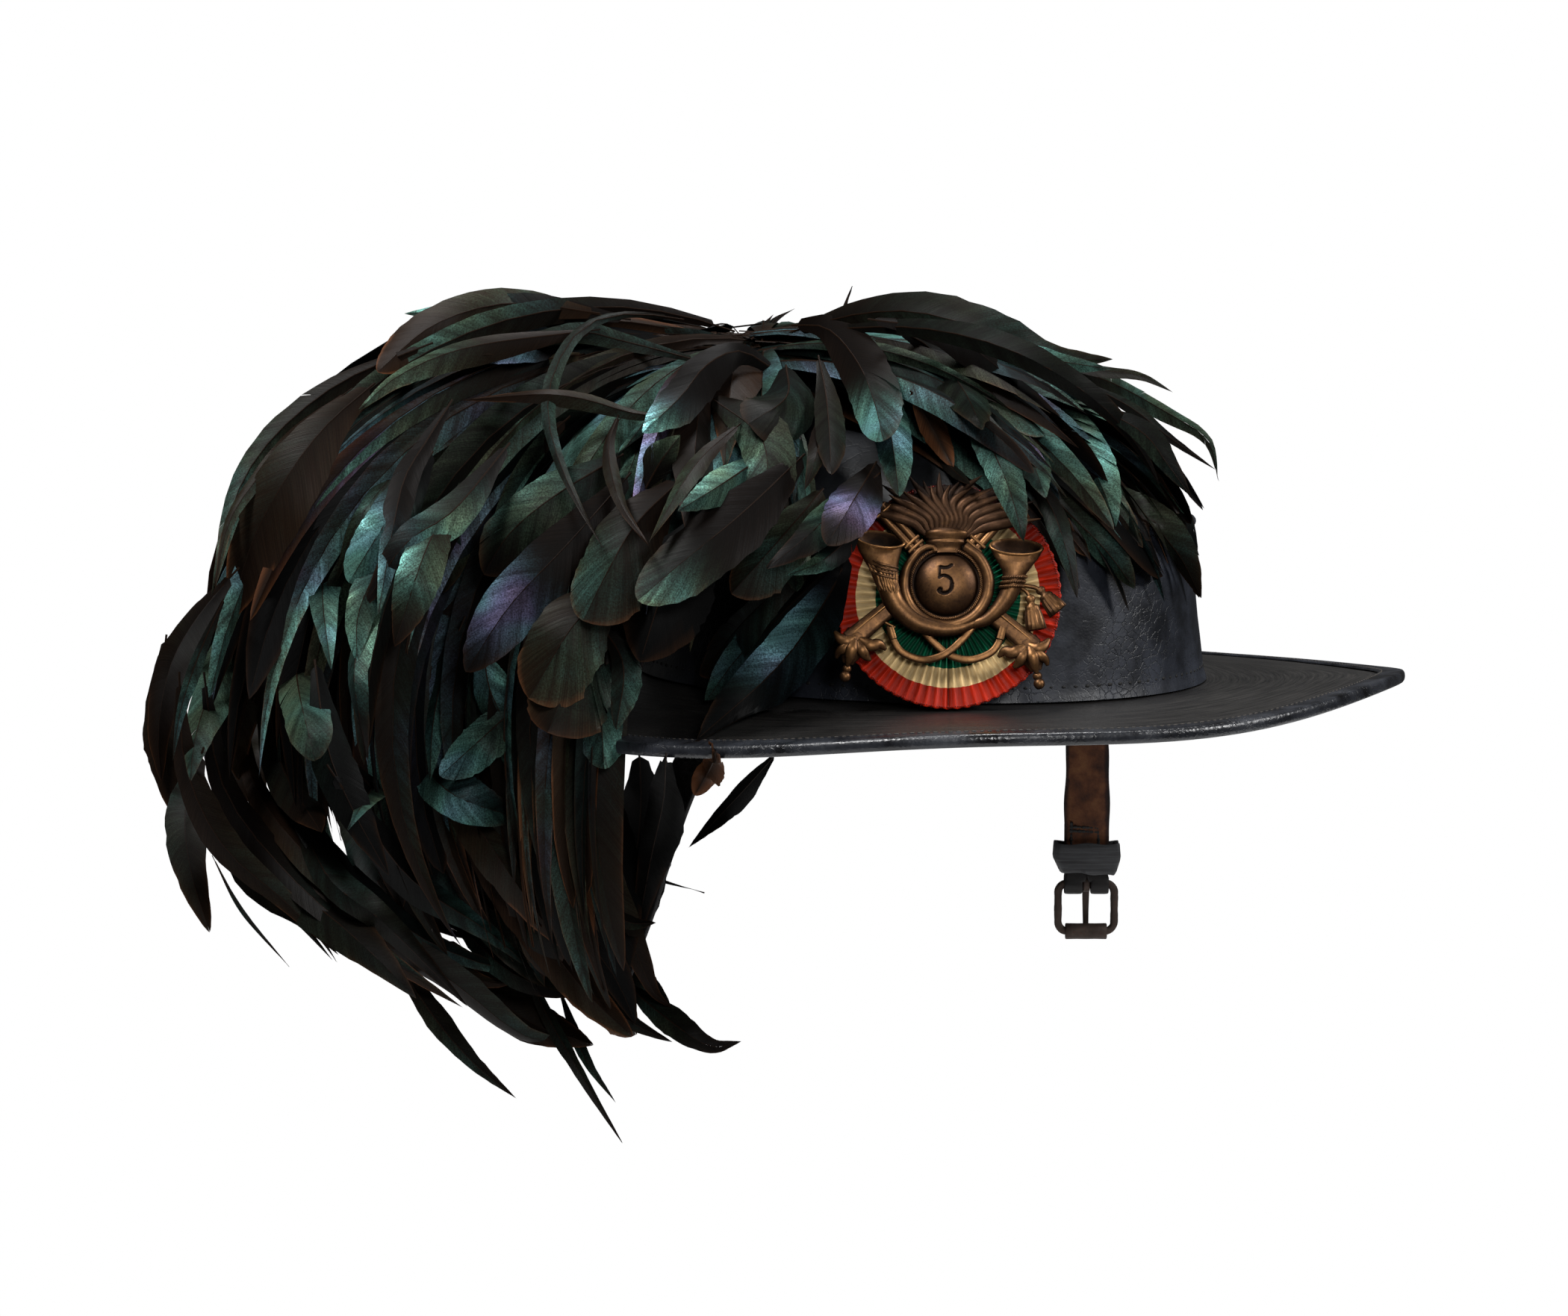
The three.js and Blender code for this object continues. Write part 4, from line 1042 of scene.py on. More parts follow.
class FeatherLoom:
    """Makes feathers one by one and joins them into a mesh."""

    REACH = np.array([[0, 0.3, 0.6, 0.84, 1.0]])  # places out along a barb

    def __init__(self, seed: int) -> None:
        """Starts with no feathers and the given seed."""
        self.chance = np.random.default_rng(seed)
        self.shapes: list[Shape] = []

    def add(self, path: Points, up: Points, cut: FeatherCut) -> None:
        """Adds one feather.

        Args:
            path: points along the shaft from the base to the tip, in millimetres.
            up: the direction that the web's outside faces, one or many.
            cut: its sizes and colours.
        """
        rng, t = self.chance, self.REACH
        bent = BentShaft.through(path, up, cut)
        long, half = bent.run[-1], cut.wide / 2
        edge = 0.05 + 0.95 * (1 - (1 - np.linspace(0, 1, cut.rows)) ** 1.5)
        stem = 1 - min(0.3 * half / long, 0.05)
        cup = half * rng.uniform(1.6, 4.5)
        fold = math.tan(math.radians(max(0.0, cut.fold + rng.normal(0, 5))))
        ripple, phase, wild = rng.uniform(0.1, 0.45), rng.uniform(0, TAU), rng.uniform(0.5, 1.5)
        own = rng.uniform()
        patch = cut.patch or rng.uniform(0.35, 0.95)
        reach = 0.12 if cut.patch else rng.uniform(0.14, 0.4)
        keen = rng.permutation([rng.uniform(0.7, 1.0), rng.uniform(0.05, 0.6)])
        for k, sign in enumerate((-1, 1)):
            wide = half * cut.outline(edge) * (0.84 if k else 1.0) * rng.normal(1, 0.025, cut.rows)
            lean = np.radians(np.interp(edge, [0, 0.5, 0.85, 1], [52, 40, 30, 16]))
            root = np.maximum.accumulate(np.clip(edge - wide / np.tan(lean) / long, 0.02, stem))
            places = np.arange(4, cut.rows - 3)
            marks = np.sort(rng.choice(places, min(cut.splits, cut.rows - 8), replace=False))
            bounds = [0, *marks.tolist(), cut.rows - 1]
            for first, last in zip(bounds, bounds[1:]):
                rows = np.arange(first, last + 1)
                u = ((rows - first) / max(last - first, 1))[:, None]
                place = (root[rows] * long)[:, None]
                gap = abs(rng.normal(0.03, 0.1)) * wild * (1 - 2 * u) * t**2 * min(1, half / 6)
                a = place * (1 - t**1.15) + (edge[rows] * long)[:, None] * t**1.15 + gap
                b = sign * wide[rows, None] * (1.04 * t - 0.04 * t**2)
                wave = ripple * np.sin(a / 9 + phase + 2 * sign) * t**2
                h = -(b**2) / (2 * cup) - np.abs(b) * fold + wave + rng.normal(0, 0.2) * wild * t**2 + 0 * a
                x = a / long
                shine = np.exp(-(((x - patch) / reach) ** 2)) * keen[k] * (0.5 + 0.5 * t)
                # Brown towards the barbs' ends and on the tips' edges: partly the web's own brown, partly
                # painted light shining through the thin old tips.
                brown = np.clip(cut.brown * (0.5 + 0.5 * t) + 0.5 * t**10 * (x > 0.75), 0, 1)
                tint = spread(cut.hue, np.clip(cut.sheen * shine * 1.2, 0, 1), brown, own)
                self.shapes.append(lattice(bent.put(a, b, h), uv=spread(b / 10, place / 10 + own * 50),
                                           tint=tint, flip=sign > 0))
        self.shaft(bent, stem * long, cut, own)

    def shaft(self, bent: BentShaft, stem: float, cut: FeatherCut, own: float) -> None:
        """Adds the feather's shaft, a thin ridge on the web.

        Args:
            bent: the shaft's line.
            stem: its length in millimetres.
            cut: the feather's sizes.
            own: the feather's own number.
        """
        a = np.linspace(0, stem, 14)[:, None]
        thick = np.interp(a / stem, [0, 1], [min(0.36, cut.wide * 0.022 + 0.1), 0.07])
        b = thick * np.array([[-1, 0, 1]])
        h = thick * np.array([[-0.5, 0.6, -0.5]]) + 0.05
        a = np.repeat(a, 3, 1)
        self.shapes.append(lattice(bent.put(a, b, h), uv=spread(b / 10, a / 10),
                                   tint=spread(0.3, 0.0, 0.4, own + 0 * a), flip=True))

    def weave(self, name: str, nodes: tuple[str, ...] = (), room: float = 1.0) -> None:
        """Joins the feathers into one piece, clear of the hat's body.

        Args:
            name: the piece's name.
            nodes: the CAD nodes that it replaces.
            room: how far off the leather the web stays, in millimetres.
        """
        shape = joined(self.shapes)
        shape.points = FORM.clear_of(shape.points, room)
        make_piece(name, shape, [Stock.FEATHER], "feathers", nodes, closed=False, corner=180)


@dataclass(frozen=True)
class FeatherFall:
    """A family of feathers that leave the knot together: azimuths and climbs in degrees, sizes in mm."""

    name: str
    count: int
    start: float  # azimuths of the family's two sides
    end: float
    rise: float  # climb at the knot and at the tip
    fall: float
    long: float
    deep: float
    turn: float
    flank: float = 85.0  # how far the webs at the sides roll outwards
    short: float = 0.7  # the shortest feather's share of the length
    sheen: float = 0.24
    wide: tuple[float, float] = (9.0, 18.0)
    down: float = 0.16  # the share that is broad black down deep in the fall, black with no shine: partly painted shade filling the fall's dark inside
    steps: int = 24

    def path(self, way: float, layer: float, share: float) -> tuple[Points, Points]:
        """One feather's way from the knot.

        Args:
            way: its azimuth in degrees.
            layer: 0 for the deepest and longest, 1 for the outermost and shortest.
            share: its share of the family's length.

        Returns:
            Points along it, and the direction out of the fall at each.
        """
        s = (np.arange(self.steps) + 0.5) / self.steps * share
        climb = np.radians(self.rise + 2 * layer + (self.fall - self.rise) * s)
        azimuth = np.radians(way + self.turn * s)
        step = spread(np.cos(climb) * np.cos(azimuth), np.cos(climb) * np.sin(azimuth), np.sin(climb))
        points = np.vstack([[0, 0, 0], np.cumsum(step, 0) * self.long / self.steps * share])
        out = spread(-np.sin(climb) * np.cos(azimuth), -np.sin(climb) * np.sin(azimuth), np.cos(climb))
        return points, np.vstack([out[:1], out])


KNOT = np.array([-65.0, 6.0, 103.0])

FALLS = (
    FeatherFall("front", 56, -74, -24, 15, -66, 158, 9, 4, 45),
    FeatherFall("front", 34, -30, 4, 18, -62, 138, 12, 4, 45),
    FeatherFall("front", 50, -72, -30, 8, -84, 158, 14, 6, 45),
    FeatherFall("back", 92, 12, 112, 18, -72, 156, 12, 6, 50),
    FeatherFall("side", 36, -136, -113, 4, -92, 126, 16, -6, 20),
    FeatherFall("side", 90, 166, 224, 2, -98, 166, 16, -4, 40),
    FeatherFall("tail_outer", 116, 116, 168, 20, -116, 308, 12, 0, short=0.5),
    FeatherFall("tail_outer", 70, 114, 172, 15, -136, 320, 14, 0, short=0.6),
    FeatherFall("tail_middle", 116, 114, 178, 9, -154, 320, 16, 2, short=0.6),
    FeatherFall("tail_inner", 100, 120, 176, -2, -158, 308, 18, 4, short=0.66, sheen=0.12),
    FeatherFall("tail_under", 70, 150, 196, -10, -142, 262, 18, 4, 80, 0.84, 0.06),
    FeatherFall("tail_under", 64, 166, 200, -18, -128, 262, 16, 4, 60, 0.84, 0.06),
)

# Feathers that the photograph shows one by one: the pixels that the shaft follows from its base to its
# tip, its width in mm, the roundness of its tip, the hue and amount of its shine, its brown, how far it
# stands off the fall in mm, and for some of them where along it the shine is strongest.
SHOWN = """
804,420 683,406 581,435 505,499 | 14.8 .7 .22 .1 .5 0
845,428 708,411 541,420 | 11.1 .3 .44 .7 .1 4
804,441 632,464 536,502 480,550 | 9.8 .3 .26 .5 .3 4
885,474 749,456 617,484 | 11.7 .5 .76 .95 .1 5 .8
784,474 647,494 547,524 | 13.5 .7 .22 .2 .6 6
939,484 835,457 764,445 647,476 | 7.4 .2 .3 .1 .2 8
916,428 845,420 784,436 748,484 733,547 749,618 779,684 809,736 | 5.2 .1 .37 .12 .15 16
916,555 855,555 784,535 723,528 617,536 | 6.2 .1 .3 .1 .5 12
1042,499 992,470 946,489 911,532 860,580 | 14.5 .7 .51 .9 .05 18 .97
1053,489 1053,532 1002,568 | 20.3 1 .3 .08 .05 12
1060,436 1108,440 1149,486 1172,542 1183,592 | 16.6 .9 .51 .9 .15 20 .86
1139,466 1184,547 1197,608 1204,665 | 12.3 .6 .45 .8 .05 14
1096,476 1106,527 1111,583 1113,636 | 9.8 .7 .22 .05 .1 12
1101,547 1096,598 1078,656 | 7.4 .3 .3 .05 .2 11
1179,633 1118,684 1073,725 1026,762 | 14.8 .3 .37 .9 .05 12
1174,618 1141,674 1107,730 | 16.6 .7 .87 .9 .1 16 .62
1154,704 1103,750 1053,771 | 8.6 .2 .35 .9 0 10
1139,735 1108,801 1043,892 932,992 | 19.7 .25 .6 1 0 13 .42
1134,735 1053,816 987,882 944,942 | 14.8 .6 .4 .35 .05 8
1088,755 1007,821 937,904 | 17.2 .8 .44 .25 .35 6
1078,608 992,689 911,755 854,805 | 21.5 .9 .26 .3 .1 8
1103,654 1042,725 979,796 | 18.5 .9 .3 .25 .35 7
1027,608 966,649 907,685 | 12.3 .3 .4 .85 .05 11
992,567 931,623 869,727 | 7.4 .2 .3 .15 .3 10
830,552 815,603 831,674 869,731 | 5.4 .15 .22 .05 .3 16
911,643 850,704 809,775 781,832 | 24.6 1 .3 .22 .3 10
845,633 764,725 683,811 624,901 | 19.7 .7 .69 .75 .15 9 .72
835,608 743,664 683,714 647,770 | 22.2 .8 .3 .3 .1 11
830,785 769,836 708,936 | 25.9 1 .3 .15 .4 9
804,836 769,897 733,982 | 26.5 1 .3 .15 .2 6
647,866 657,927 692,993 | 14.8 .6 .48 .55 0 8
713,927 652,983 589,1040 | 14.8 .7 .43 .55 0 8
683,947 698,998 728,1045 | 16 .8 .33 .35 0 5
804,846 804,927 809,1031 | 16 .8 .48 .35 .05 9
804,836 835,892 825,978 | 9.8 .5 .37 .2 .1 7
713,978 738,1023 756,1061 | 7.4 .1 .22 .05 .6 7
612,664 571,735 528,866 | 14.8 .4 .33 .5 .3 9
683,593 607,684 541,730 485,816 | 13.5 .3 .44 .5 .1 9
951,532 1017,583 1027,643 1007,694 | 17.2 .8 .3 .35 .2 6
764,557 693,618 627,664 594,795 | 14.8 .6 .33 .3 .2 7
865,654 885,618 911,583 | 11.1 .3 .33 .4 .1 5
580,459 493,494 433,527 363,589 316,665 283,799 | 10 .2 .3 .25 .25 4
472,520 398,576 350,634 307,699 286,797 | 5.3 .1 .26 .1 .5 6
502,513 433,574 376,652 333,738 310,830 | 22.1 .5 .22 .03 .45 4
467,673 415,730 359,799 301,881 264,977 255,1046 | 16.9 .3 .31 .45 .15 12
273,1001 248,1085 256,1169 281,1249 | 15 .5 .31 .1 .3 12
433,803 372,847 333,903 316,977 320,1046 | 15.8 .5 .22 .05 .45 10
340,934 323,1001 332,1074 362,1132 | 16.3 .6 .22 .05 .45 10
398,829 398,912 422,1020 | 15.3 1 .35 .6 .05 12
571,543 502,613 454,699 434,760 433,816 444,897 | 13.2 .2 .4 .55 .1 12
597,561 524,639 476,704 450,780 | 8.4 .2 .33 .25 .35 14
580,604 528,682 493,738 467,781 | 14.7 .9 .44 .8 0 13
558,699 511,756 480,821 478,887 | 11.1 .4 .45 .7 .1 11
528,760 493,829 474,899 485,977 494,1025 | 9 .2 .35 .45 .1 12
617,647 576,738 552,803 529,868 | 15.8 .7 .33 .55 .15 12
619,795 593,838 550,890 509,952 | 11.1 .3 .26 .08 .2 12
606,535 563,604 537,656 506,825 | 9.5 .3 .51 .4 .1 10
320,760 268,821 229,890 212,977 216,1046 | 13.7 .5 .22 .03 .3 2
303,795 268,873 242,951 231,1020 | 4.7 .1 .44 .2 .1 5
234,911 211,967 229,1068 | 12.2 .4 .22 .03 .35 3
623,825 597,890 580,968 576,1046 | 9.5 .3 .48 .3 0 5
284,1040 334,1163 424,1214 502,1281 558,1338 | 17.7 .4 .26 .03 .1 4
357,1124 452,1222 558,1258 637,1312 692,1316 | 12.2 .4 .26 .05 .45 8
379,1023 435,1169 514,1236 626,1348 | 10.9 .2 .26 .05 .1 6
284,1146 323,1219 388,1296 | 1.6 .1 .3 .05 0 4
351,1124 402,1214 451,1289 | 3.3 .1 .3 .03 .1 3
514,1258 575,1354 631,1421 692,1472 | 8.4 .1 .33 .08 .15 6
693,1258 721,1337 777,1438 834,1532 | 5.4 .1 .3 .05 .15 10
749,1326 782,1415 825,1478 | 4.1 .1 .44 .15 0 5
592,1214 670,1292 726,1321 780,1332 | 9.5 .5 .37 .12 .1 12
738,1214 794,1292 852,1386 | 17.7 .9 .22 .04 .5 6
816,1258 866,1314 899,1350 | 9 .4 .26 .05 .1 4
833,1314 894,1365 950,1401 993,1395 | 10.2 .2 .33 .08 .1 8
760,1090 732,1169 721,1242 736,1308 | 17 .8 .31 .12 .1 14
558,967 626,1085 693,1186 754,1270 | 16.3 .5 .3 .04 .5 8
547,995 603,1062 696,1097 | 16.3 .5 .48 .4 0 12
536,990 491,1068 465,1113 | 10.9 .2 .33 .5 .05 10
592,1258 693,1359 795,1400 | 16.3 .4 .22 .02 .4 5
816,1141 872,1174 944,1196 | 1.6 .1 .3 .03 0 5
794,1214 844,1236 879,1236 | 5.4 .3 .3 .05 .1 5
777,1102 822,1169 848,1225 | 5.4 .2 .3 .05 .3 7
502,1068 592,1169 682,1236 738,1292 | 15 .5 .3 .04 .1 3
435,1040 514,1169 592,1236 637,1258 | 15 .4 .33 .1 .1 4
1056,446 1142,422 1229,418 1334,448 1406,479 1492,481 | 15.2 .3 .3 .15 .15 6
1104,441 1229,439 1344,465 1440,516 1512,580 1553,649 | 9.3 .3 .22 .03 .05 14
1344,460 1464,493 1526,503 1571,526 | 6.4 .2 .26 .08 .2 6
1373,480 1478,508 1565,554 1618,590 1631,645 | 9.9 .2 .37 .4 .15 7
1440,508 1512,544 1565,585 1628,629 | 5.2 .1 .26 .05 .05 4
1464,542 1531,580 1565,624 1595,665 | 8.2 .3 .3 .08 .05 4
1267,441 1382,476 1488,495 | 9.3 .3 .44 .7 0 9
1286,465 1358,508 1421,566 1474,648 1494,706 | 17.5 .5 .4 .6 .1 11
1373,494 1440,542 1502,609 1579,688 | 17.5 .6 .3 .45 .15 9
1368,576 1435,633 1493,681 1531,734 | 12.8 .4 .33 .25 .35 8
1267,494 1344,561 1378,609 1401,667 | 14 .5 .33 .3 .1 10
1267,508 1315,576 1349,648 1372,725 | 12.2 .4 .33 .45 .1 15
1358,609 1406,676 1430,744 1443,802 | 8.2 .3 .3 .12 .1 12
1382,633 1430,686 1478,734 1520,789 | 12.2 .5 .33 .25 .1 8
1469,648 1531,691 1579,744 1609,802 | 14 .3 .31 .15 .25 6
1200,439 1248,468 1291,523 1316,576 | 14.6 .6 .3 .1 .05 18
1219,523 1248,571 1277,627 | 8.7 .3 .19 .02 1 8
1248,590 1272,624 1299,649 | 4.7 .2 .22 .02 .1 10
1128,422 1134,403 1142,383 | 2.1 .1 .3 .02 .2 2
1018,453 1037,429 1065,413 | 3 .1 .3 .02 .1 2
1008,453 1020,439 1036,421 | 2.3 .1 .3 .02 .1 2
1296,470 1392,532 1445,590 1526,729 | 12.8 .3 .4 .35 .1 6
1315,552 1392,619 1445,667 1493,705 | 8.2 .3 .3 .1 .3 9
1162,427 1267,446 1354,508 1406,576 | 14 .5 .3 .12 .1 8
951,684 895,775 857,887 | 28.3 .6 .3 0 0 -5
240,900 248,1024 297,1131 380,1206 454,1280 | 11.2 .2 .3 .05 .3 0
273,900 297,1049 372,1156 471,1247 570,1313 | 11.6 .3 .3 .08 .1 3
322,917 339,1049 413,1148 504,1231 620,1297 653,1313 | 10.8 .2 .3 .04 .5 5
372,950 388,1065 446,1156 537,1239 636,1288 735,1309 | 10 .3 .44 .12 0 7
289,1024 355,1148 438,1222 537,1297 620,1350 | 8.8 .1 .3 .03 .6 1
364,1115 471,1231 603,1313 702,1388 793,1398 | 11.6 .4 .3 .06 .2 1
273,1082 330,1164 397,1231 446,1287 | 4.4 .1 .3 .05 .2 6
438,1024 488,1098 554,1181 653,1247 719,1305 | 13.3 .2 .44 .1 0 6
471,1024 562,1131 653,1231 719,1297 778,1330 | 14.1 .8 .44 .1 .1 8
587,1032 661,1164 727,1255 785,1330 847,1389 | 14.9 .7 .3 .05 .5 8
653,1032 727,1164 785,1255 826,1313 851,1371 | 16.1 .5 .3 0 0 3
735,1049 802,1164 843,1255 876,1330 899,1350 | 11.2 .3 .3 .05 .3 4
653,1065 719,1214 769,1288 835,1363 901,1396 | 12 .3 .3 .04 .1 1
769,999 802,1082 818,1181 843,1297 | 22.1 .4 .3 0 0 -2
856,1008 858,1090 847,1181 835,1288 | 22.1 .3 .3 0 0 -14
892,1008 888,1074 872,1148 851,1264 | 16.1 .3 .3 0 0 -16
223,850 213,950 223,1032 248,1123 | 12 .3 .3 .03 .4 4
355,867 364,966 380,1032 430,1115 | 14.1 .3 .3 .03 .2 2
421,883 438,999 471,1082 521,1173 | 14.1 .3 .3 .03 0 1
959,1006 951,1029 930,1066 | 9.7 .9 .19 0 1 -24
1040,1009 990,1065 922,1136 | 8.4 .3 .3 0 0 -22
"""


@dataclass
class Plume:
    """The falling plume of cock feathers, seated where the CAD's locks are."""

    camera: PhotoCamera
    seed: int = 11
    dip: float = 8.0  # how far a shown feather may lie behind its middle
    sink: float = 30.0  # how far its base may lie behind the fall
    stand: float = 2.0  # how far it may lie before the fall
    bare: float = 2.6  # how far off the leather a shaft stays

    def carrier(self) -> BVHTree:
        """The CAD solids that the shown feathers lie on, as one surface."""
        points, faces = [], []
        for name in ("plume", "crown", "side_band", "brim", "cockade", "badge"):
            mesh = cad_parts[name].data
            start = len(points)
            points += [v.co.copy() for v in mesh.vertices]
            faces += [[start + v for v in p.vertices] for p in mesh.polygons]
        return BVHTree.FromPolygons(points, faces)

    def seated(self, pixels: Points, lift: float, carrier: BVHTree) -> Points:
        """Turns pixels to points that lie on what the camera sees there, `lift` millimetres nearer it.

        Args:
            pixels: the pixels from the feather's base to its tip.
            lift: how far it stands off the surface at its tip.
            carrier: the surface.

        Returns:
            The points in millimetres.
        """
        eye = self.camera.place()
        rays = np.array([self.camera.ray(p) for p in smooth_line(pixels, 13)])
        depth = np.full(len(rays), np.nan)
        for k, ray in enumerate(rays):
            hit = carrier.ray_cast(Vector(eye * MM), Vector(ray).normalized(), 3.0)
            if hit[0] is not None:
                depth[k] = hit[3] / MM / np.linalg.norm(ray)
        known = np.flatnonzero(~np.isnan(depth))
        share = np.linspace(0, 1, len(rays))
        if len(known):
            depth = np.interp(share, share[known], depth[known])
        else:
            depth[:] = self.camera.away
        depth = np.minimum(depth, np.median(depth) + self.dip)
        curve = np.polyval(np.polyfit(share, depth, 2), share)
        curve = np.minimum(curve, depth + self.sink * np.clip(0.5 - share, 0, 1))
        for _ in range(8):
            curve[1:-1] = (curve[:-2] + 2 * curve[1:-1] + curve[2:]) / 4
        curve = np.maximum(curve, depth.min() - self.stand)
        near = lift * np.clip(share * 2.2 - 0.35, -0.5, 1)
        return eye + rays * (curve - near)[:, None]

    def shown(self) -> None:
        """The feathers of the photograph's side, one by one."""
        carrier = self.carrier()
        loom = FeatherLoom(self.seed)
        chance = np.random.default_rng(self.seed + 1)
        up = -self.camera.axes()[0] + 0.25 * UP
        for row in SHOWN.split("\n")[1:-1]:
            text, sizes = row.split(" | ")
            wide, tip, hue, sheen, brown, lift, *patch = map(float, sizes.split())
            path = self.seated(np.array([pair.split(",") for pair in text.split()], float), lift, carrier)
            splits = int(chance.integers(1, 4)) if wide > 8 and sheen > 0.15 else 0
            loom.add(path, up, FeatherCut(
                wide, tip, hue, sheen, brown, splits, roll=chance.normal(0, 10), twist=chance.normal(0, 12),
                fold=chance.uniform(4, 20), rows=30, patch=patch[0] if patch else 0.0))
        loom.weave("plume_shown_feathers", ("plume",), 1.2)

    def feather(self, family: FeatherFall, layer: float, chance: np.random.Generator,
                loom: FeatherLoom) -> None:
        """Adds one feather of a family.

        Args:
            family: the family.
            layer: 0 for its deepest feather, 1 for its outermost.
            chance: what its differences are drawn from.
            loom: the loom that it is added to.
        """
        side = chance.uniform(-1, 1)
        way = (family.start + family.end) / 2 + side * (family.end - family.start) / 2
        down = layer < family.down
        share = (1 - (1 - family.short) * layer**0.8) * chance.uniform(0.9, 1.0) * (0.86 if down else 1)
        points, out = family.path(way, layer, share)
        flank = np.array([-math.sin(math.radians(way)), math.cos(math.radians(way)), 0])
        lean = math.radians(family.flank * side * chance.uniform(0.75, 1.1) + chance.normal(0, 10))
        up = unit(out * math.cos(lean) + flank * math.sin(lean))
        grow = np.clip(np.linspace(0, 3, len(points)), 0, 1)[:, None]
        bed = (layer - 0.9) * family.deep * 0.8
        drift = flank * chance.normal(0, 5) + UP * chance.normal(0, 2.5)
        start = KNOT + chance.normal(0, 1, 3) * np.array([4.5, 4.5, 3.0])
        path = start + points + up * bed * grow + drift * np.linspace(0, 1, len(points))[:, None] ** 1.5
        for _ in range(2):
            path = FORM.clear_of(path, self.bare)
            path[1:-1] = (path[:-2] + 2 * path[1:-1] + path[2:]) / 4
        thin = chance.uniform() < 0.2 and not down
        # Down feathers are black with no shine and no brown: feathers that are also painted shade for the
        # fall's dark inside.
        loom.add(path, up, FeatherCut(
            wide=26.0 if down else chance.uniform(2.5, 6) if thin else chance.uniform(*family.wide),
            tip=0.1 if thin else chance.uniform(0.0, 1.0) ** 1.3,
            hue=float(np.clip(chance.normal(0.46, 0.2), 0, 1)),
            sheen=0.0 if down else family.sheen * chance.uniform(0.1, 2.2) ** 1.5,
            brown=0.0 if down else float(np.clip(chance.normal(0.22, 0.3), 0, 0.9)),
            splits=int(chance.integers(0, 3)), roll=chance.normal(0, 14),
            twist=chance.normal(0, 22), fold=chance.uniform(4, 26), rows=18,
        ))

    def build(self) -> None:
        """Builds the whole plume: the shown feathers, then each part from its families."""
        self.shown()
        for k, part in enumerate(dict.fromkeys(family.name for family in FALLS)):
            seed = self.seed + 10 * k
            loom = FeatherLoom(seed)
            chance = np.random.default_rng(seed + 100)
            for family in [each for each in FALLS if each.name == part]:
                for j in range(family.count):
                    self.feather(family, (j + 0.5) / family.count, chance, loom)
            loom.weave("plume_" + part)


# Cockade and badge


@dataclass(frozen=True)
class Facing:
    """The slanted frame that the cockade and badge stand in: x right, y up and z out of the hat."""

    turn: float = -38.0
    lean: float = 76.0
    at: tuple[float, float, float] = (6.1, -96.9, 33.2)
    badge: tuple[float, float, float] = (-0.6, 3.2, 4.45)

    def spin(self) -> Matrix:
        """The frame's turn round the hat."""
        return Matrix.Rotation(math.radians(self.turn), 3, "Z")

    def matrix(self) -> Points:
        """The frame's three directions as columns."""
        return np.array(self.spin() @ Matrix.Rotation(math.radians(self.lean), 3, "X"))

    def world(self, points: Points, on_badge: bool = False) -> Points:
        """Moves points from this frame to the hat's, both in millimetres.

        Args:
            points: any array of points.
            on_badge: whether they are measured from the badge's middle.

        Returns:
            The moved points.
        """
        local = points + (np.array(self.badge) if on_badge else 0)
        return local @ self.matrix().T + np.array(self.spin() @ Vector(self.at))


FACING = Facing()


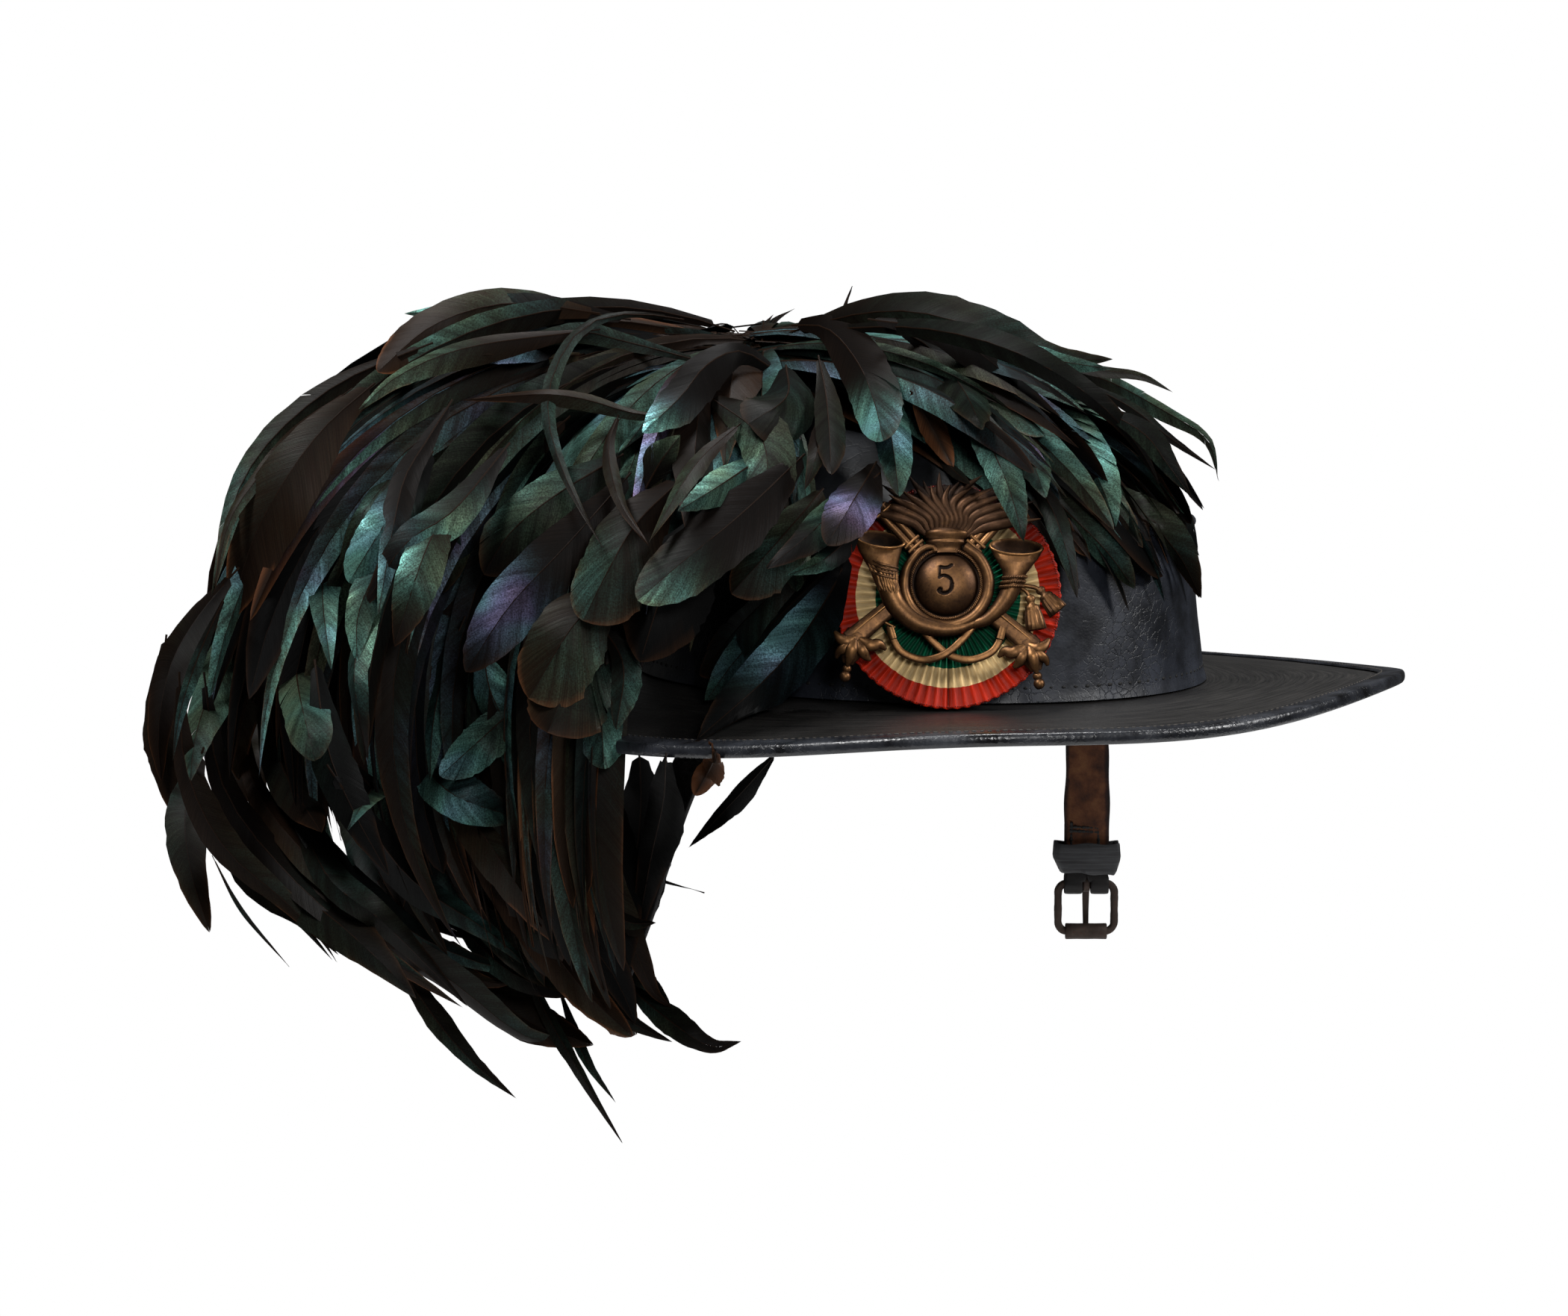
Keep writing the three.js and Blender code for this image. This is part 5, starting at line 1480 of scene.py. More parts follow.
@dataclass
class Cockade:
    """A ribbon gathered to a round, on a stiff back, with its rim overcast in silk."""

    radius: float = 34.4
    pleats: int = 67
    samples: int = 10
    rows: int = 30

    def face(self, share: Points, angle: Points) -> tuple[Points, Points]:
        """The pleated face's height and its painted shade: darker in the pleats' hollows, at the seam and
        under the plume.

        Args:
            share: the radius as a share of the round's.
            angle: the angle in radians.

        Returns:
            Heights in millimetres and a share of painted light from 0 to 1, where less is painted shade.
        """
        uneven = 0.35 * np.sin(5 * angle + 1) + 0.3 * np.sin(11 * angle)
        phase = self.pleats * angle + uneven + 0.5 * np.sin(3 * angle) * share
        fold = 0.5 + 0.5 * np.cos(phase + 0.55 * np.sin(phase))
        size = np.interp(share, [0, 0.25, 0.45, 0.66, 0.82, 1], [0.3, 0.8, 1.3, 1.1, 0.75, 0.55])
        swell = 0.25 * np.sin(9 * angle + 4 * share) * share**2
        seam = np.exp(-(((angle + math.pi / 2) / 0.012) ** 2)) * (share > 0.3)
        height = 1.7 + size * fold + 1.2 * share**2 + swell - 0.8 * seam
        # Painted shade: the pleats' hollows and the seam's crease are darkened, and the top lies in the
        # plume's painted shadow.
        hollow = np.interp(share, [0, 0.3, 0.62, 0.85, 1], [0.85, 0.8, 0.55, 0.38, 0.3])
        deep = np.clip((share * np.sin(angle) - 0.42) / 0.3, 0, 1)  # in the plume's shade
        return height, (1 - hollow * (1 - fold) ** 1.4) * (1 - 0.6 * seam) * (1 - 0.93 * deep)

    def build(self) -> None:
        """Builds the ribbon, its back and its stitches."""
        count = self.pleats * self.samples
        angle = np.linspace(-math.pi / 2, 1.5 * math.pi, count, endpoint=False)[:, None]
        angle = np.where(angle > math.pi, angle - TAU, angle)
        share = np.linspace(0.1, 0.985, self.rows)[None]
        height, light = self.face(share, angle)
        rag = 1 + 0.006 * np.sin(self.pleats * angle + 1) + 0.004 * np.sin(7 * angle)
        bulge = [(1.0, 0.0), (1.0, -0.7), (0.985, -1.4)]
        last = height[:, -1:]
        places = np.concatenate([share * np.ones_like(angle)] + [b[0] + 0 * angle for b in bulge], 1) * rag
        tall = np.concatenate([height] + [last + b[1] for b in bulge], 1)
        radius = self.radius * places
        grid = spread(radius * np.cos(angle), radius * np.sin(angle), tall)
        # The tint carries the face's painted shade.
        shade = np.concatenate([light, np.repeat(light[:, -1:], len(bulge), 1)], 1)
        ribbon = lattice(FACING.world(grid), wrap_rows=True, flip=True,
                         uv=spread(np.minimum(places, 0.999), angle / TAU),
                         tint=spread(shade, shade, shade, 1.0))
        piece = make_piece("cockade_ribbon", ribbon, [Stock.RIBBON], "ribbon", ("cockade",), closed=False,
                           corner=180)
        self.back()
        ring = around(300)[:, 0]
        edge = spread(np.cos(ring) * self.radius * 0.993, np.sin(ring) * self.radius * 0.993,
                      self.face(np.full_like(ring, 0.985), ring)[0] - 0.3)
        outward = spread(np.cos(ring), np.sin(ring), 0.6) @ FACING.matrix().T
        STITCHES.lay("cockade_rim_overcast", "ribbon", [(FACING.world(edge), outward)], 0.85,
                     (1.7, 0.46, 0.4), Stock.RED_SILK, lean=74, uneven=0.25)

    def back(self) -> None:
        """The stiff round behind the ribbon."""
        ring = around(96)
        share, high = np.array([(0.0, 0.0), (0.5, 0.0), (0.96, 0.1), (0.985, 0.5), (0.985, 1.3), (0.96, 1.5),
                                (0.5, 1.5), (0.0, 1.5)]).T[:, None]
        radius = share * self.radius
        grid = spread(radius * np.cos(ring), radius * np.sin(ring), high)
        make_piece("cockade_back", lattice(FACING.world(grid), wrap_rows=True), [Stock.STRAP], "ribbon")


@dataclass
class Badge:
    """One brass casting: a grenade with its fire, in a horn with cords, over crossed arms, with tassels."""

    ball_radius: float = 10.1
    rope_radius: float = 10.75
    horn_radius: float = 12.9
    shapes: list[Shape] = field(default_factory=list)

    NUMERAL = (
        # strokes of a plain number: points and half width
        (((-1.8, 4.9), (-0.8, 4.7), (0.6, 4.9), (1.6, 5.6)), 0.42),
        (((-1.9, 5.1), (-2.1, 3.4), (-2.2, 1.6)), 0.25),
        (((-2.2, 1.6), (-1.2, 2.2), (0.1, 2.0), (1.2, 1.1), (1.6, -0.3)), 0.36),
        (((1.6, -0.3), (1.4, -1.8), (0.5, -2.9), (-0.9, -3.2), (-2.0, -2.8)), 0.44),
        (((-2.2, -2.4), (-2.0, -2.1)), 0.62),
    )

    LEAVES = (
        # the hilt's leaf, lobe by lobe: points and half width
        (((24.6, -18.6, 3.2), (27.6, -20.0, 3.8), (29.6, -18.9, 3.4), (31.2, -16.8, 2.6)), 1.45),
        (((25.0, -19.6, 3.4), (28.2, -22.0, 3.8), (30.0, -23.4, 3.0), (30.6, -25.0, 2.2)), 1.35),
        (((25.0, -19.2, 3.6), (26.0, -22.4, 4.3), (26.6, -25.2, 3.8), (27.4, -27.6, 3.0)), 1.5),
        (((24.4, -19.8, 3.4), (22.8, -22.8, 3.9), (21.6, -24.6, 3.2), (20.2, -25.6, 2.4)), 1.45),
        (((23.8, -19.0, 3.2), (20.4, -21.2, 3.8), (17.6, -20.8, 3.2), (15.6, -22.4, 2.4)), 1.6),
    )

    def keep(self, shape: Shape, rubbed: float) -> None:
        """Adds a shape to the casting, with how much its tops are rubbed bright."""
        self.shapes.append(shape.rubbed(rubbed))

    def bar(self, points: list | tuple, half: Row, rubbed: float, flat: float, count: int, sides: int,
            square: float = 2.0) -> None:
        """Adds a bar along points of the badge's face.

        Args:
            points: (x, y, z) places that it runs through.
            half: half widths, spread evenly along it.
            rubbed: how bright its tops are.
            flat: its depth as a share of its width.
            count: places along it.
            sides: points round it.
            square: its section, 2 for an oval.
        """
        line = smooth_line(points, count)
        across = unit(np.cross(unit(np.gradient(line, axis=0)), UP))
        wide = spaced(half, count)
        self.keep(sweep(line, across, np.stack([wide, wide * flat], 1), sides, square), rubbed)

    def ball(self) -> None:
        """The grenade's ball, with a plain number cut into it."""
        angle = around(144)
        lean = np.concatenate([np.linspace(0, 0.72, 54), np.linspace(0.735, 1, 12)])[None] * math.pi / 2
        x, y = [self.ball_radius * np.sin(lean) * turn for turn in (np.cos(angle), np.sin(angle))]
        z = 0.2 + 5.2 * np.cos(lean) + 0 * angle
        near = np.full(x.shape, 9.0)
        for points, half in self.NUMERAL:
            line = smooth_line(points, 24)
            gap = np.hypot(x[..., None] - line[:, 0], y[..., None] - line[:, 1]).min(-1) - half
            near = np.minimum(near, gap)
        cut = np.clip(0.5 - near / 0.36, 0, 1)
        rub = 0.5 * (1 - cut) * (0.45 + 0.55 * np.cos(lean)) - 0.3 * cut
        self.shapes.append(lattice(spread(x, y, z - 0.55 * cut), wrap_rows=True,
                                   tint=spread(rub, 0.0, 0.0, 1.0)))

    def turned(self, start: Row, end: Row, profile: list[Row], rubbed: float, flat: float = 0.7,
               flutes: tuple[int, float] = (0, 0.0)) -> None:
        """Adds a turned form along a line.

        Args:
            start: the line's start.
            end: the line's end.
            profile: (share of the line, radius) pairs.
            rubbed: how bright its tops are.
            flat: its depth as a share of its width.
            flutes: how many flutes it has, and how deep as a share of the radius.
        """
        start, end = np.array(start, float), np.array(end, float)
        share, radius = np.array(profile).T
        across = unit(np.cross(unit(end - start), UP))
        ring = around(32)
        flute = 1 - flutes[1] * (0.5 + 0.5 * np.cos(flutes[0] * ring)) * (share[None] > 0.35)
        line = start + (end - start) * share[:, None]
        out = across * np.cos(ring)[..., None] + flat * UP * np.sin(ring)[..., None]
        grid = line[None] + out * (radius[None] * flute)[..., None]
        caps = [lattice(np.stack([grid[:, k], np.repeat(line[k][None], len(ring), 0)], 1), wrap_rows=True)
                for k in (0, -1)]
        self.keep(joined([lattice(grid, wrap_rows=True), *caps]), rubbed)

    def bell(self, points: list[Row], half: Row, mouth: Row, tilt: float) -> None:
        """Adds a horn's tube with its hollow mouth.

        Args:
            points: (x, y, z) places from its narrow end to just under its mouth.
            half: half widths along them.
            mouth: x, y, half width and half height of its mouth.
            tilt: degrees that the mouth is turned in the badge's plane.
        """
        count, sides = 34, 28
        line = smooth_line(points, count)
        along = unit(np.gradient(line, axis=0))
        across = unit(np.cross(along, UP))
        share = np.linspace(0, 1, count)
        wide = spaced(half, count)
        c, s = np.cos(around(sides)), np.sin(around(sides))
        x, y, broad, tall = mouth
        dip = np.interp(share, [0, 0.72, 1], [0, 0, tall * 0.75])
        deep = np.interp(share, [0, 0.3, 0.8, 1], [1.3, 2.1, 2.5, 2.5])
        rows = [np.repeat(line[:1], sides, 0)]
        for k in range(count):
            rows.append(line[k] + across[k] * wide[k] * c - along[k] * dip[k] * s + deep[k] * UP * s)
        t = math.radians(tilt)
        right, up = np.array([math.cos(t), math.sin(t), 0]), np.array([-math.sin(t), math.cos(t), 0])
        middle = np.array([x, y, 3.3])
        lip = ((1, 0.5, 0.6), (1.03, 0.1, 0.75), (1.0, -0.25, 0.75), (0.93, -0.3, 0.6), (0.84, 0.5, 0.2),
               (0.7, 1.7, 0.1), (0.45, 3.2, 0.05), (0.15, 4.4, 0.0), (0.0, 4.6, 0.0))  # size, depth, rubbing
        for grow, sink, _ in lip:
            oval = right * broad * grow * c - (up * tall - 1.9 * UP) * grow * s
            rows.append(middle + oval - (up * 0.8 + 0.62 * UP) * sink)
        rub = np.tile([0.5] * (count + 1) + [row[2] for row in lip], (sides, 1))
        self.shapes.append(lattice(np.stack(rows, 1), wrap_rows=True, tint=spread(rub, 0.0, 0.0, 1.0)))

    def fire(self) -> None:
        """The grenade's fire: wavy strands over a plate."""
        plate = np.array([(-4.5, 14.5), (-9, 17), (-15, 21), (-17.5, 26), (-12, 29.5), (-4, 32.5), (5, 33),
                          (12, 31), (17, 27.5), (15.5, 21), (9, 17), (4.5, 14.5)])
        rim = smooth_line(np.vstack([plate, plate[:1]]), 60)[:-1] * 0.84 + [0, 3.0]
        middle = np.array([0, 23.0])
        rows = [np.hstack([middle + (rim - middle) * g, np.full((len(rim), 1), z)])
                for g, z in ((0, 0.2), (1, 0.2), (1.0, 1.0), (0.9, 1.5), (0, 1.8))]
        self.keep(lattice(np.stack(rows, 1), wrap_rows=True), 0.05)
        root = 14.8
        for layer in range(2):
            for k in np.arange(-5.1, 5.2, 0.85) + 0.42 * layer:
                lean = k * 3.25
                high = 33.6 - 0.34 * k * k - 3.0 * layer + 1.1 * math.cos(3.7 * k)
                points = []
                for s in (0, 0.12, 0.24, 0.36, 0.48, 0.6, 0.72, 0.84, 0.93, 1):
                    wave = 1.7 * math.sin(s * 6.6 + 0.3 * k) * min(1, s * 2.2)
                    hook = 3.6 * math.tanh(k - 0.8) * max(0.0, (s - 0.66) / 0.34) ** 1.5
                    tall = 0.9 + 0.9 * layer + 0.8 * math.sin(math.pi * s) + 0.2 * math.cos(s * 7.6)
                    points.append((k * 1.05 + lean * s**1.15 + wave + hook, root + (high - root) * s, tall))
                self.bar(points, (0.8, 1.25, 1.75, 1.9, 1.75, 1.3, 0.75, 0.15), 0.1 + 0.22 * layer, 0.8,
                         34, 8)

    def arms(self) -> None:
        """The crossed arms: double barrels above, stocks with leafed hilts below."""
        reach = np.array([12.2, 13.6, 0])
        side = unit(reach[[1, 0, 2]] * [-1, 1, 0])
        for sign, dx, dy in ((1, 0.0, 0.0), (-1, -2.8, 2.2)):
            put = lambda points: [(sign * x + (dx if y < 0 else -0.4), y + (dy if y < 0 else 0.4), z)
                                  for x, y, z in points]
            for shift in (-1.15, 1.2):
                foot = np.array([7.6, 9.8, 1.9]) + side * shift
                top = foot + reach
                self.bar(put([foot, (foot + top) / 2, top]), (1.35, 1.3, 1.2), 0.5, 0.8, 8, 10)
            for place in (0.1, 0.2, 0.9):
                spot = np.array([7.6, 9.8, 2.1]) + reach * place
                ends = spot - side * 2.9, spot, spot + side * 2.9
                self.bar(put(ends), (0.75, 0.8, 0.75), 0.62, 1.5, 5, 8)
            self.bar(put([(12.6, -8.0, 1.6), (19.5, -13.7, 1.8), (26.4, -19.6, 1.8)]), (2.7, 2.9, 3.3), 0.42,
                     0.5, 10, 12, 5.0)
            self.bar(put([(14.0, -7.6, 2.9), (20.5, -13.0, 3.0), (26.0, -17.6, 3.0)]), (0.5, 0.55, 0.5), 0.7,
                     0.8, 8, 8)
            self.bar(put([(23.6, -17.4, 1.6), (25.6, -21.0, 1.8), (27.2, -26.6, 1.8)]), (4.1, 4.5, 1.7), 0.4,
                     0.45, 14, 14)
            for leaf, width in self.LEAVES:
                self.bar(put(leaf), (0.8, width * 1.3, width * 1.15, 0.5), 0.55, 0.5, 18, 10)
            for high, size in ((-28.2, 1.45), (-30.5, 1.75)):
                x = 27.5 - (high + 28.2) * 0.22
                ends = put([(x, high + size, 2.0), (x, high - size, 2.0)])
                profile = [((1 - math.cos(t)) / 2, size * math.sin(t))
                           for t in np.linspace(0.03, math.pi - 0.03, 9)]
                self.turned(*ends, profile, 0.5, 0.9)

    def horn(self) -> None:
        """The horn: its round tube, two mouths and the rope round the ball."""
        turns = np.radians((64, 40, 10, -20, -50, -80, -110, -140, -170, -200, -225, -240))
        ring = [(self.horn_radius * math.cos(t), self.horn_radius * math.sin(t), 2.4) for t in turns]
        self.bar([*ring, (-3.9, 11.3, 2.7), (-3.3, 9.9, 2.9)],
                 (1.6, 1.75, 1.8, 1.85, 1.85, 1.85, 1.85, 1.85, 1.8, 1.75, 1.6, 1.35, 1.2, 0.8), 0.5, 0.95,
                 90, 14)
        self.bell([(9.0, -11.6, 2.3), (4, -13.6, 2.7), (-2, -14.0, 3.0), (-9.5, -11.8, 3.1),
                   (-15.4, -6.4, 3.1), (-18.0, 0.5, 3.1), (-19.2, 6.5, 3.1), (-19.9, 11.2, 3.0)],
                  (1.3, 2.0, 2.5, 2.9, 3.15, 3.3, 4.3, 6.9), (-20.1, 13.6, 7.7, 2.7), -9)
        self.bell([(7.6, -12.4, 2.2), (12.4, -10.8, 2.5), (16.9, -6.4, 2.8), (19.7, -1.2, 3.0),
                   (20.6, 3.6, 3.0), (21.1, 8.6, 3.0)],
                  (1.5, 2.0, 2.5, 2.9, 3.5, 7.0), (21.3, 11.3, 8.2, 2.7), -3)
        chance = np.random.default_rng(4)
        for k in range(9):
            side = (k - 4) / 4.4
            points = []
            for s in np.linspace(0, 1, 5):
                x = -19.6 + 2.5 * s + side * (4.3 - 1.3 * s) + chance.normal(0, 0.2)
                points.append((x, 5.4 - 8.4 * s - 0.9 * side, 3.1 + 2.35 * math.sqrt(1 - side**2 * 0.9)))
            self.bar(points, (0.3, 0.72, 0.5, 0.8, 0.3), 0.62, 0.8, 14, 6)
        for y in (2.6, 1.5, 0.4, -0.9):
            self.bar([(-23.4, y + 5, 4.2), (-20.8, y + 3.4, 5.9), (-17.2, y + 2.4, 5.8),
                      (-14.6, y + 2.0, 4.0)], (0.3, 0.4, 0.4, 0.3), 0.5, 0.8, 12, 6)

    def cords(self) -> None:
        """The flat cords under the horn, and the tassels."""
        for sign in (1, -1):
            line = [(-17.3, -12.6, 1.6), (-16.3, -16.8, 1.9), (-13.4, -21.0, 2.1), (-7.0, -23.2, 2.2),
                    (-0.6, -21.6, 2.4 + 0.5 * sign), (4.6, -17.2, 2.2), (8.2, -12.8, 1.8)]
            self.bar([(sign * x, y, z) for x, y, z in line], (1.15,), 0.55, 0.62, 56, 12, 3.5)
            self.bar([(sign * -17.2, -13.4, 2.6), (sign * -16.2, -17.0, 2.8)], (1.25,), 0.6, 0.7, 6, 10, 4.0)
            self.bar([(sign * -18.6, -11.8, 2.4), (sign * -15.6, -13.4, 2.4)], (0.6,), 0.65, 0.9, 6, 8)
        self.bar([(22.4, -0.4, 3.0), (25.0, -0.8, 3.0), (27.4, -1.4, 3.0), (28.6, -2.6, 2.8)], (0.7,),
                 0.55, 0.9, 14, 8)
        self.bar([(22.6, -1.2, 2.8), (24.2, -2.4, 2.9), (25.2, -4.0, 2.8)], (0.6,), 0.55, 0.9, 12, 8)
        skirt = [(0.0, 0.3), (0.06, 1.3), (0.14, 1.6), (0.22, 1.15), (0.27, 1.0), (0.32, 1.9), (0.4, 2.4),
                 (0.46, 2.3), (0.5, 2.6), (0.8, 3.1), (0.98, 3.3), (1.0, 2.9)]
        self.turned((25.2, -3.2, 3.0), (27.2, -14.2, 2.6), skirt, 0.55, 0.62, (13, 0.22))
        self.turned((27.8, -1.0, 2.6), (34.0, -8.4, 2.2), skirt, 0.5, 0.6, (13, 0.22))

    def ropes(self) -> None:
        """The ropes that are cut into the casting, one strand at a time."""
        angle = around(160)[:, 0]
        round_ball = spread(self.rope_radius * np.cos(angle), self.rope_radius * np.sin(angle), 2.9)
        STITCHES.lay("badge_rope_round_ball", "badge_brass",
                     [(FACING.world(round_ball, True), UP @ FACING.matrix().T)], 0.62, (1.55, 0.62, 0.9),
                     Stock.BRASS, lean=48, uneven=0.06, rubbed=0.42)
        wraps = []
        turn = around(40)[:, 0]
        out = spread(np.cos(turn), 0.0, np.sin(turn)) @ FACING.matrix().T
        for y in (1.9, 0.5, -0.9):
            x = 20.1 + 0.32 * y
            loop = spread(x + 3.55 * np.cos(turn), y + 0.25 * np.cos(turn) - 0.2 * np.sin(turn),
                          3.0 + 2.75 * np.sin(turn))
            wraps.append((FACING.world(loop, True), out))
        STITCHES.lay("badge_rope_round_horn", "badge_brass", wraps, 0.72, (1.7, 0.7, 0.9), Stock.BRASS,
                     lean=42, uneven=0.06, rubbed=0.42)

    def build(self) -> None:
        """Builds the casting and its ropes."""
        radius, high = np.array([(0.0, 0.1), (13.4, 0.1), (13.6, 0.6), (13.4, 1.4), (0.0, 1.5)]).T[:, None]
        plate = spread(radius * np.cos(around(64)), radius * np.sin(around(64)), high)
        self.keep(lattice(plate, wrap_rows=True), 0.05)
        self.ball()
        self.turned((0, 9.6, 1.0), (0, 17.2, 1.5),
                    [(0.0, 5.4), (0.12, 5.0), (0.3, 5.0), (0.36, 6.0), (0.44, 6.3), (0.5, 5.9), (0.55, 5.8),
                     (0.62, 6.8), (0.78, 7.1), (0.88, 6.9), (0.94, 5.6), (1.0, 5.0)], 0.48, 0.5)
        self.fire()
        self.arms()
        self.cords()
        self.horn()
        shape = joined(self.shapes)
        shape.points[:, 2] = np.maximum(shape.points[:, 2], 0.1)
        shape.points = FACING.world(shape.points, True)
        self.rub(make_piece("badge_casting", shape, [Stock.BRASS], "badge_brass", ("badge",), corner=60))
        self.ropes()
        LOG.info("badge: %d parts, brightest %.2f", len(self.shapes), shape.tint[:, 0].max())

    @staticmethod
    def rub(piece: Piece) -> None:
        """Darkens the casting's sides and hollows and keeps its tops bright."""
        mesh = piece.data
        out = FACING.matrix()[:, 2]
        normals = np.empty(len(mesh.vertices) * 3, np.float32)
        mesh.vertices.foreach_get("normal", normals)
        facing = np.clip((normals.reshape(-1, 3) @ out - 0.25) / 0.75, 0, 1)
        layer = mesh.color_attributes["tint"]
        tint = np.empty(len(mesh.vertices) * 4, np.float32)
        layer.data.foreach_get("color", tint)
        tint = tint.reshape(-1, 4)
        tint[:, 0] *= 0.35 + 0.65 * facing
        layer.data.foreach_set("color", tint.ravel())


# The chin strap


@dataclass
class ChinStrap:
    """The open chin strap: the buckle's short half, its keeper and buckle, and the long half."""

    at: tuple[float, float, float] = (79.2, 6.6, -78.0)
    wide: float = 15.0
    thick: float = 1.8
    steps: int = 46  # places along each half
    black_end: float = 5.2  # how high the folded end is blackened
    inside: float = 5.5  # from the crown's outside to the halves' sewn ends

    RIGHT = np.array([0.788011, -0.615661, 0.0])
    OUT = np.array([-0.615661, -0.788011, 0.0])

    def put(self, points: Points) -> Points:
        """Moves points from the buckle's frame (x along its bars, y up, z to the camera) to the hat's."""
        p = np.asarray(points, float)
        return np.array(self.at) + p[..., :1] * self.RIGHT + p[..., 1:2] * UP + p[..., 2:] * self.OUT

    def strap(self, name: str, stations: list, stock: Stock, slot: str, nodes: tuple[str, ...],
              extra: list[Shape] | tuple = ()) -> None:
        """Makes one half of the strap.

        Args:
            name: the piece's name.
            stations: (place, across) pairs down the strap.
            stock: its finish.
            slot: the name of its material slot.
            nodes: the CAD nodes that it replaces.
            extra: more shapes that belong to it.
        """
        places, across = [smooth_line(values, self.steps) for values in zip(*stations)]
        ripple = sum([high * np.sin(np.linspace(start, end, self.steps))
                      for high, start, end in ((0.22, 0, 17), (0.12, 2, 41))])
        band = sweep(places, unit(across), spread(self.wide / 2 + ripple, self.thick / 2), 24, 7.0)
        stocks = [stock, Stock.STRAP] if extra else [stock]
        piece = make_piece(name, joined([band, *extra]), stocks, slot, nodes, corner=50)
        blackened = (self.at[2] + self.black_end) * MM
        for face in piece.data.polygons if extra else ():
            face.material_index = int(face.center.z < blackened)

    def folded_end(self) -> list[Shape]:
        """The short half's end: doubled, sewn and folded round the buckle's bar."""
        bulge, layers = 2.9, []
        arc = [(bulge * math.cos(t), bulge * math.sin(t)) for t in np.radians(np.linspace(28, -235, 17))]
        line = [(1.3, 8.6), (1.5, 7.0), (1.8, 5.4), (2.25, 3.7), *arc, (-1.2, 5.6), (-0.95, 9), (-0.95, 15),
                (-0.9, 20)]
        path = smooth_line([(0.0, y, z) for z, y in line], 70)
        edge = self.wide / 2
        inner = np.where(path[:, 1] < 3.0, 1.4, -0.4)  # the slot's side, or a little past the middle
        for side in (-1, 1):
            part = path.copy()
            part[:, 0] = side * (edge + inner) / 2
            half = spread((edge - inner) / 2, self.thick / 2)
            layers.append(sweep(self.put(part), self.RIGHT, half, 16, 5.0))
        return layers

    def buckle(self) -> None:
        """The buckle's frame, prong and roller."""
        half_w, half_h, corner = 9.5, 8.25, 3.2
        turn = np.radians(np.arange(0, 360, 10))
        ring = []
        for cx, cy, start in ((1, 1, 0), (-1, 1, 90), (-1, -1, 180), (1, -1, 270)):
            for d in range(start, start + 91, 15):
                t = math.radians(d)
                ring.append(((half_w - corner) * cx + corner * math.cos(t),
                             (half_h - corner) * cy + corner * math.sin(t) - half_h, 0.0))
        line = np.array(ring + ring[:1])
        run = run_along(line)
        even = np.linspace(0, run[-1], 96, endpoint=False)
        wide = 1.3 + 0.05 * np.sin(0.9 * even + 1) + 0.02 * np.sin(2.3 * even)
        line = self.put(at_runs(even, run, line))
        frame_bar = sweep(line, self.OUT, spread(1.15, wide), 14, 2.8, closed=True)
        self.metal("buckle_frame_iron", frame_bar, ("buckle_frame",))
        eye = spread(0.0, 2.45 * np.sin(turn), 2.45 * np.cos(turn))
        hoop = sweep(self.put(eye), self.RIGHT, np.array([1.15, 0.6]), 12, 2.8, closed=True)
        tongue = smooth_line([(0.0, -2.3, -1.6), (0.0, -5, -2.7), (0.05, -10, -3.5), (0.1, -14, -3.65),
                              (0.1, -17.6, -3.6)], 26)
        taper = np.interp(np.linspace(0, 1, 26), [0, 0.5, 0.93, 1], [1.25, 1.05, 0.95, 0.6])
        tail = sweep(self.put(tongue), self.RIGHT, spread(taper, 0.62), 12, 2.6)
        self.metal("buckle_prong_iron", joined([hoop, tail]), ("buckle_prong",), "prong")
        place, radius = np.array([(-7.0, 1.75), (-7.0, 2.5), (-6.75, 2.72), (-3, 2.66), (0, 2.7), (3, 2.65),
                                  (6.75, 2.72), (7.0, 2.5), (7.0, 1.75)]).T[:, None]
        spin = turn[:, None]
        radius = radius * (1 - 0.05 * np.exp(-(((spin - 2.6) / 0.1) ** 2)))  # the seam
        grid = spread(place, radius * np.cos(spin) - 2 * half_h, radius * np.sin(spin))
        self.metal("buckle_roller_iron", lattice(self.put(grid), wrap_rows=True, wrap_columns=True),
                   ("buckle_roller",), "roller")

    def metal(self, name: str, shape: Shape, nodes: tuple[str, ...], body: str = "root") -> None:
        """Makes one of the buckle's iron pieces.

        Args:
            name: the piece's name.
            shape: its form.
            nodes: the CAD nodes that it replaces.
            body: the CAD body that it moves with.
        """
        make_piece(name, shape.rubbed(0.32), [Stock.IRON], "buckle_iron", nodes, body, corner=50)

    def keeper(self) -> None:
        """The loose loop that holds a strap's end."""
        corners = [(-9.6, 4.3), (9.6, 4.3), (10.9, 2.6), (11.2, 0), (10.9, -2.6), (9.6, -4.3), (-9.6, -4.3),
                   (-10.9, -2.6), (-11.2, 0), (-10.9, 2.6)]
        path = smooth_line([*corners, corners[0]], 81)[:-1]
        flatter = np.sign(path[:, 1]) * np.minimum(np.abs(path[:, 1]), 4.3)
        out = unit(spread(path[:, 0] * 0.35, flatter * 2.2))
        rows = []
        for high, grow in ((3.6, 0.25), (3.9, 0.0), (5.4, 0.15), (8, 0.2), (9.5, 0.1), (12.0, 0.15),
                           (13.6, 0.0), (13.9, 0.25), (13.6, 1.5), (8.6, 1.7), (3.9, 1.5)):
            taper = 1 - 0.2 * max(0.0, (8.6 - high) / 5) ** 1.3 - 0.04 * max(0.0, (high - 11) / 3)
            wobble = 0.25 * np.sin(path[:, 0] * 0.5 + high) - 0.05 * path[:, 0] * (high < 8)
            rows.append(spread(path[:, 0] * taper - out[:, 0] * grow, high + wobble,
                               flatter - out[:, 1] * grow))
        grid = np.stack(rows, 1)
        marks = spread(path[:, :1] / 10, grid[..., 1] / 8)
        make_piece("strap_keeper_leather",
                   lattice(self.put(grid), wrap_rows=True, wrap_columns=True, uv=marks), [Stock.KEEPER],
                   "strap_leather", ("strap_keeper",), corner=55)

